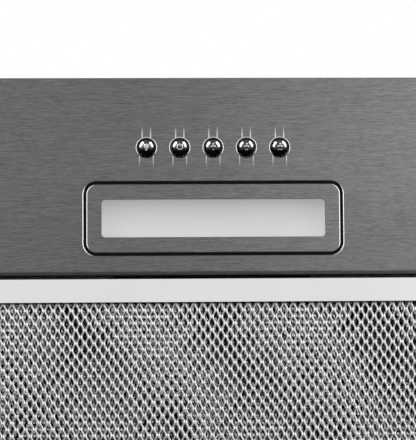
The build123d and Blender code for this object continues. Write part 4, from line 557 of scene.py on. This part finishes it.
def push_buttons():
    """Five domed caps, each in its own rolled ring."""
    cap = cap_profile()
    cap_faces = grid_faces(len(cap), CAP_SEGMENTS, close_columns=True)
    for name, x in BUTTON_X.items():
        make_piece(
            f"button_cap_{name}", turned_points(cap, (x, BUTTON_Y), CAP_SEGMENTS), cap_faces,
            cap_finish(name), f"button_{name}", [f"cap_{name}"],
        )
    ring = ring_profile()
    rings = [turned_points(ring, (x, BUTTON_Y), RING_SEGMENTS) for x in BUTTON_X.values()]
    ring_faces = grid_faces(len(ring), RING_SEGMENTS, close_rows=True, close_columns=True)
    make_piece(
        "rolled_button_rings", np.vstack(rings), repeated(ring_faces, len(rings), len(rings[0])),
        ring_finish(), "hood", ["button_rings"], sharp=50,
    )


push_buttons()


# ---- black band in the lamp groove ----

BAND_DROP = 0.55      # from the face up to the band's crest
BAND_HEIGHT = 0.9
BAND_WIDTH = 1.7
BAND_BEVEL = 0.1
BAND_GAP = 0.02       # between the bezel and the band


def rounded_path(width, depth, corner, count=14):
    """Points and outward directions round a rectangle with round corners: each corner is
    (cx + r cos a, cy + r sin a) over a quarter turn, and straight sides join the quarters."""
    points, outwards = [], []
    for quarter in range(4):
        angle = np.radians(np.linspace(90 * quarter, 90 * quarter + 90, count))
        outward = np.stack([np.cos(angle), np.sin(angle)], -1)
        middle = np.array([width / 2 - corner, depth / 2 - corner]) * np.sign(outward[count // 2])
        points.append(middle + corner * outward)
        outwards.append(outward)
    return np.vstack(points), np.vstack(outwards)


def lamp_gasket():
    """A black band that fills the groove round the lamp: its section (s, z) is carried round
    the bezel's outline p with outward directions n, as the points (p + s n, z)."""
    groove_finish = moulded("groove_band_black", (0.006, 0.006, 0.0065), 0.8, 0.4, 0.02, 0.2, shine=0.06)
    low, high = node_box("lamp_bezel")
    width, depth = high[:2] - low[:2]
    path, outward = rounded_path(width, depth, BEZEL_CORNER)
    path = path + (low[:2] + high[:2]) / 2
    crest = FACE_Z + BAND_DROP
    top, shoulder = crest + BAND_HEIGHT, crest + BAND_BEVEL
    section = np.array([
        (BAND_GAP, top), (BAND_WIDTH, top), (BAND_WIDTH, shoulder),
        (BAND_WIDTH * 0.6, crest), (BAND_WIDTH * 0.4, crest), (BAND_GAP, shoulder),
    ])
    across = path[:, None] + section[None, :, :1] * outward[:, None]
    height = np.broadcast_to(section[None, :, 1:], across[..., :1].shape)
    points = np.concatenate([across, height], -1).reshape(-1, 3)
    faces = grid_faces(len(path), len(section), close_rows=True, close_columns=True)
    make_piece("lamp_gasket", points, faces, groove_finish, "hood")


lamp_gasket()


# ---- grease filter mesh ----

TOP_RAIL = 10.0         # width of the rails on the filter's upper side
HIDDEN = np.array([3.5, 2.5])  # how far the outer sheets reach in under the rails, along X and Y
CUP_GAP = 0.8           # between the latch cup and the strands that end at it
FIRST_LOOPS = 0.9       # from the rail to the first row of closed loops
# Heights of the sheets over the lower side of the mesh, the last one down from its upper side.
FRONT_UP = 0.6
FINE_UP = 1.9
COARSE_UP = 4.0
REAR_DOWN = 0.6


def expanded_sheet(
    low, high, z, pitch_x, pitch_y, width, thick, sway, lean, steps,
    shift=0.0, slant=0.0, offset=0.0, crumple=0.0,
):
    """Expanded metal: strands along Y, half a pitch apart, that swing towards and away from
    their neighbours. With p = 2 pi (y - y0) / py + k pi + shift, strand k runs along
        x = x0 + offset + (k / 2 + 1 / 4) px + sway cos p + slant (y - y0)
            + crumple sin(y / 2.7 + k / 1.9) sin(y / 12 - k / 4.3),
        z = z0 + 0.18 thick cos p,
    with a flat section of that width and thickness leaning by lean sin p. Strands in line with
    the latch cup end in front of it, at y = min(y, the cup's front less a gap). Each point also
    gets its place across the strand, from -1 to 1, and sin p, for the finish to read."""
    count = int((high[0] - low[0]) / (pitch_x / 2))
    k = np.arange(count)[:, None]
    y = np.linspace(low[1], high[1], int((high[1] - low[1]) / pitch_y * steps))[None, :]
    cup_low, cup_high = node_box("latch_cup")
    middle = low[0] + offset + (k + 0.5) * pitch_x / 2
    near_cup = np.abs(middle) < cup_high[0] + CUP_GAP
    y = np.minimum(y, np.where(near_cup, cup_low[1] - CUP_GAP, high[1]))
    phase = 2 * np.pi * (y - low[1]) / pitch_y + np.pi * k + shift
    x = middle + sway * np.cos(phase) + slant * (y - low[1])
    x = x + crumple * np.sin(y / 2.7 + k / 1.9) * np.sin(y / 12.0 - k / 4.3)
    tilt = lean * np.sin(phase)
    height = z + 0.18 * thick * np.cos(phase)
    across = np.array([-1, 1, 1, -1])[None, None, :] * width / 2
    along = np.array([-1, -1, 1, 1])[None, None, :] * thick / 2
    c, s = np.cos(tilt)[..., None], np.sin(tilt)[..., None]
    points = np.stack([
        x[..., None] + across * c - along * s,
        y[..., None] + 0 * across,
        height[..., None] + across * s + along * c,
    ], -1)
    block = y.shape[1] * 4
    sides = grid_faces(y.shape[1], 4, close_columns=True)
    start, end = np.array([[3, 2, 1, 0]]), np.array([[0, 1, 2, 3]]) + block - 4
    faces = np.vstack([repeated(part, count, block) for part in (sides, start, end)])
    turn = np.sin(phase)[..., None]
    place = np.stack([np.sign(across) + 0 * turn, turn + 0 * across, 0 * (turn + across)], -1)
    return points.reshape(-1, 3), faces, place.reshape(-1, 3)


def strand_finish(name, dull, bright, rough, speckle, knuckles):
    """Slit aluminium: dull speckled strands, with a painted highlight on the cut edge that turns to the
    light and on the knuckles where two strands meet, painted light and shade by which way each strand
    leans, and painted shade close to the rails that shade them."""
    made = Finish(name, Metallic=1.0)
    stored = made.node("ShaderNodeAttribute", {"attribute_name": "strand"}).outputs["Vector"]
    apart = made.node("ShaderNodeSeparateXYZ", None, [stored])
    across, turn = (Value(made, apart.outputs[axis]) for axis in "XY")
    # painted highlights on the cut edge and on the knuckles
    cut = across.step(-0.1, 0.5) * turn.step(0.40, -0.25)
    knuckle = across.step(-0.9, 0.1) * (turn * turn).step(0.30, 0.05)
    wear = made.noise(1.1, 2.0)
    grit = made.noise(1.3, 1.0, shift=(5, 8, 2)).step(-0.11, 0.11) * 2.0 - 1.0
    edge = cut.higher(knuckles * knuckle) * (1.0 + speckle * grit)
    # painted light and shade: each strand lighter or darker by which way it leans
    tone = ((1.0 + 0.35 * wear + speckle * grit) * (1.0 - 0.18 * turn)).higher(0.05)
    low, high = node_box("filter_frame")
    middle, half = (low + high) / 2, (high - low) / 2 - RAIL
    past_x = abs(made.x - middle[0]) - half[0]
    past_y = abs(made.y - middle[1]) - half[1]
    # painted shade close to the rails
    lit = 0.08 + 0.92 * past_x.higher(past_y).step(-0.7, -2.3)
    metal = made.mix(edge.higher(0.0).lower(1.0), made.scaled(dull, tone), bright)
    return made.set(Base_Color=made.scaled(metal, lit), Roughness=rough + 0.2 * wear)


def mesh_layer(name, corners, z, slit, finish, replaced=()):
    """Makes one sheet of expanded mesh between two corners, its strand places kept with it."""
    points, faces, strands = expanded_sheet(*corners, z, **slit)
    make_piece(
        name, points, faces, finish, "filter", replaced,
        sharp=40, weld=0.0005, strands=strands,
    )


def filter_layers():
    """The filter's sheets of expanded mesh, from the one seen from below to the uppermost. The
    two inner ones start a little behind the front rail, which leaves the rail's edge dark."""
    low, high = (corner[:2] for corner in node_box("filter_frame"))
    bottom = node_box("filter_mesh_front")[0][2]
    top = node_box("filter_mesh_rear")[1][2]
    front = low + RAIL - HIDDEN, high - RAIL + HIDDEN
    inner = front[0] + np.array([0.0, HIDDEN[1] + 2 * FIRST_LOOPS]), front[1]
    rear = low + TOP_RAIL - HIDDEN, high - TOP_RAIL + HIDDEN
    outer = dict(pitch_x=5.4, pitch_y=7.77, width=1.22, thick=0.42, sway=0.80, steps=8)
    fine = dict(
        pitch_x=5.1, pitch_y=7.45, width=1.25, thick=0.4, sway=0.75, lean=0.7, steps=7, shift=0.6,
        slant=0.016, offset=2.5, crumple=0.7,
    )
    coarse = dict(pitch_x=5.9, pitch_y=8.8, width=1.5, thick=0.4, sway=0.9, lean=0.8, steps=5, shift=2.3)
    first_loops = -2 * math.pi * (HIDDEN[1] + FIRST_LOOPS) / outer["pitch_y"]
    bright = strand_finish("mesh_painted_edge_highlights", (0.367, 0.366, 0.365), (1.0, 1.0, 1.0), 0.34, 0.16, 0.9)
    # painted shade inside the filter: the fine inner sheet is a darker copy of the same aluminium and
    # the coarse one is nearly black
    grey = strand_finish("mesh_inner_grey", (0.290, 0.289, 0.288), (0.66, 0.66, 0.66), 0.42, 0.75, 0.2)
    dark = plain_metal("mesh_inner_dark", (0.028, 0.028, 0.028), 0.5, 0.2, 2.0)
    seen = outer | {"lean": 0.55, "shift": first_loops}
    upper = outer | {"lean": -0.55}
    mesh_layer("mesh_outer_front", front, bottom + FRONT_UP, seen, bright, ["filter_mesh_front"])
    mesh_layer("mesh_inner_fine", inner, bottom + FINE_UP, fine, grey, ["filter_mesh_core"])
    mesh_layer("mesh_inner_coarse", inner, bottom + COARSE_UP, coarse, dark)
    mesh_layer("mesh_outer_rear", rear, top - REAR_DOWN, upper, bright, ["filter_mesh_rear"])


filter_layers()


# ---------------------------------------------------------------- studio

BELOW_BUTTONS = (0.0, -0.1, -0.05)  # what most of the boxes aim at
SIDE_BOX = (1.6, 1.4)
FLOOR_Z = -1.35
FLOOR_REACH = 8.0
AMBIENT = 0.5           # strength of the white surroundings as a light
PHOTO_WIDTH = 416       # in pixels
FOCAL_LENGTH = 1504.86  # in pixels
SENSOR = 36.0           # width, in millimetres


def softbox(name, place, aim, size, radiance):
    """An area light of a given radiance, aimed at a point."""
    lamp = bpy.data.lights.new(name, "AREA")
    lamp.shape = "RECTANGLE"
    lamp.size, lamp.size_y = size
    lamp.energy = radiance * math.pi * size[0] * size[1]
    made = bpy.data.objects.new(name, lamp)
    made.location = place
    direction = Vector(aim) - Vector(place)
    made.rotation_euler = direction.to_track_quat("-Z", "Y").to_euler()
    bpy.context.scene.collection.objects.link(made)
    return made


def button_softboxes():
    """Two strong boxes that only the button caps mirror, as the bright windows on them."""
    receivers = bpy.data.collections.new("mirrors_the_button_boxes")
    for piece in bpy.data.objects:
        if piece.name.startswith("button_cap_"):
            receivers.objects.link(piece)
    for side in (-1, 1):
        place = (side * 0.81, -0.64, -0.26)
        lamp = softbox(f"button_box_{side}", place, BELOW_BUTTONS, (1.02, 0.68), 24.0)
        lamp.light_linking.receiver_collection = receivers
        lamp.visible_diffuse = False


def camera():
    """The photograph's camera: below the hood, looking up, with the cook's side at the top."""
    right = np.array([0.999611, 0.006408, -0.027129])
    up = np.array([0.004502, -0.997556, -0.069731])
    eye = np.array([-28.1, 5.705, -907.477]) * MM
    lens = bpy.data.cameras.new("photo_camera")
    lens.sensor_fit = "HORIZONTAL"
    lens.sensor_width = SENSOR
    lens.lens = FOCAL_LENGTH / PHOTO_WIDTH * SENSOR
    lens.clip_end = 50.0
    made = bpy.data.objects.new("photo_camera", lens)
    turned = np.eye(4)
    turned[:3] = np.stack([right, up, np.cross(right, up), eye], -1)
    made.matrix_world = Matrix(turned.tolist())
    bpy.context.scene.collection.objects.link(made)
    bpy.context.scene.camera = made


def seen_or_mirrored(nodes):
    """1 for rays from the camera, or by way of metal or glass, and 0 for rays that only light."""
    path = nodes.node("ShaderNodeLightPath").outputs
    seen, mirrored, through = (
        Value(nodes, path[f"Is {kind} Ray"]) for kind in ("Camera", "Glossy", "Transmission")
    )
    return seen.higher(mirrored).higher(through)


def world():
    """A white studio: plain white where it is seen or mirrored, and dimmer as a light."""
    made = bpy.data.worlds.new("studio")
    bpy.context.scene.world = made
    made.use_nodes = True
    made.node_tree.nodes.clear()
    nodes = Nodes(made.node_tree)
    lit, shown = (
        nodes.node("ShaderNodeBackground", None, {"Color": (1, 1, 1), "Strength": strength}).outputs[0]
        for strength in (AMBIENT, 1.0)
    )
    mixed = nodes.node("ShaderNodeMixShader", None, [seen_or_mirrored(nodes), lit, shown])
    nodes.node("ShaderNodeOutputWorld", None, [mixed.outputs[0]])


def floor():
    """A pale floor well below the hood, whiter where it is seen or mirrored, with the shadow kept."""
    mesh = bpy.data.meshes.new("studio_floor")
    corners = [(-1, -1), (1, -1), (1, 1), (-1, 1)]
    points = [(x * FLOOR_REACH, y * FLOOR_REACH, FLOOR_Z) for x, y in corners]
    mesh.from_pydata(points, [], [(0, 1, 2, 3)])
    made = bpy.data.objects.new("studio_floor", mesh)
    finish = Finish("studio_floor", Roughness=0.9, Emission_Strength=0.52)
    cloud = finish.noise(400.0, 1.0)
    finish.set(
        Base_Color=finish.scaled((0.80, 0.80, 0.80), 1.0 + 0.02 * cloud),
        Emission_Color=finish.scaled((1.0, 1.0, 1.0), seen_or_mirrored(finish)),
    )
    mesh.materials.append(finish.material)
    bpy.context.scene.collection.objects.link(made)


camera()
world()
floor()
softbox("left_softbox", (-1.15, -0.46, -0.80), BELOW_BUTTONS, SIDE_BOX, 1.04)
softbox("right_softbox", (1.15, -0.46, -0.80), BELOW_BUTTONS, SIDE_BOX, 1.35)
button_softboxes()
softbox("overhead_softbox", (0.6, -1.6, 2.2), (0.0, 0.0, 0.1), (1.6, 1.6), 1.35)
bpy.context.scene.view_settings.view_transform = "Standard"
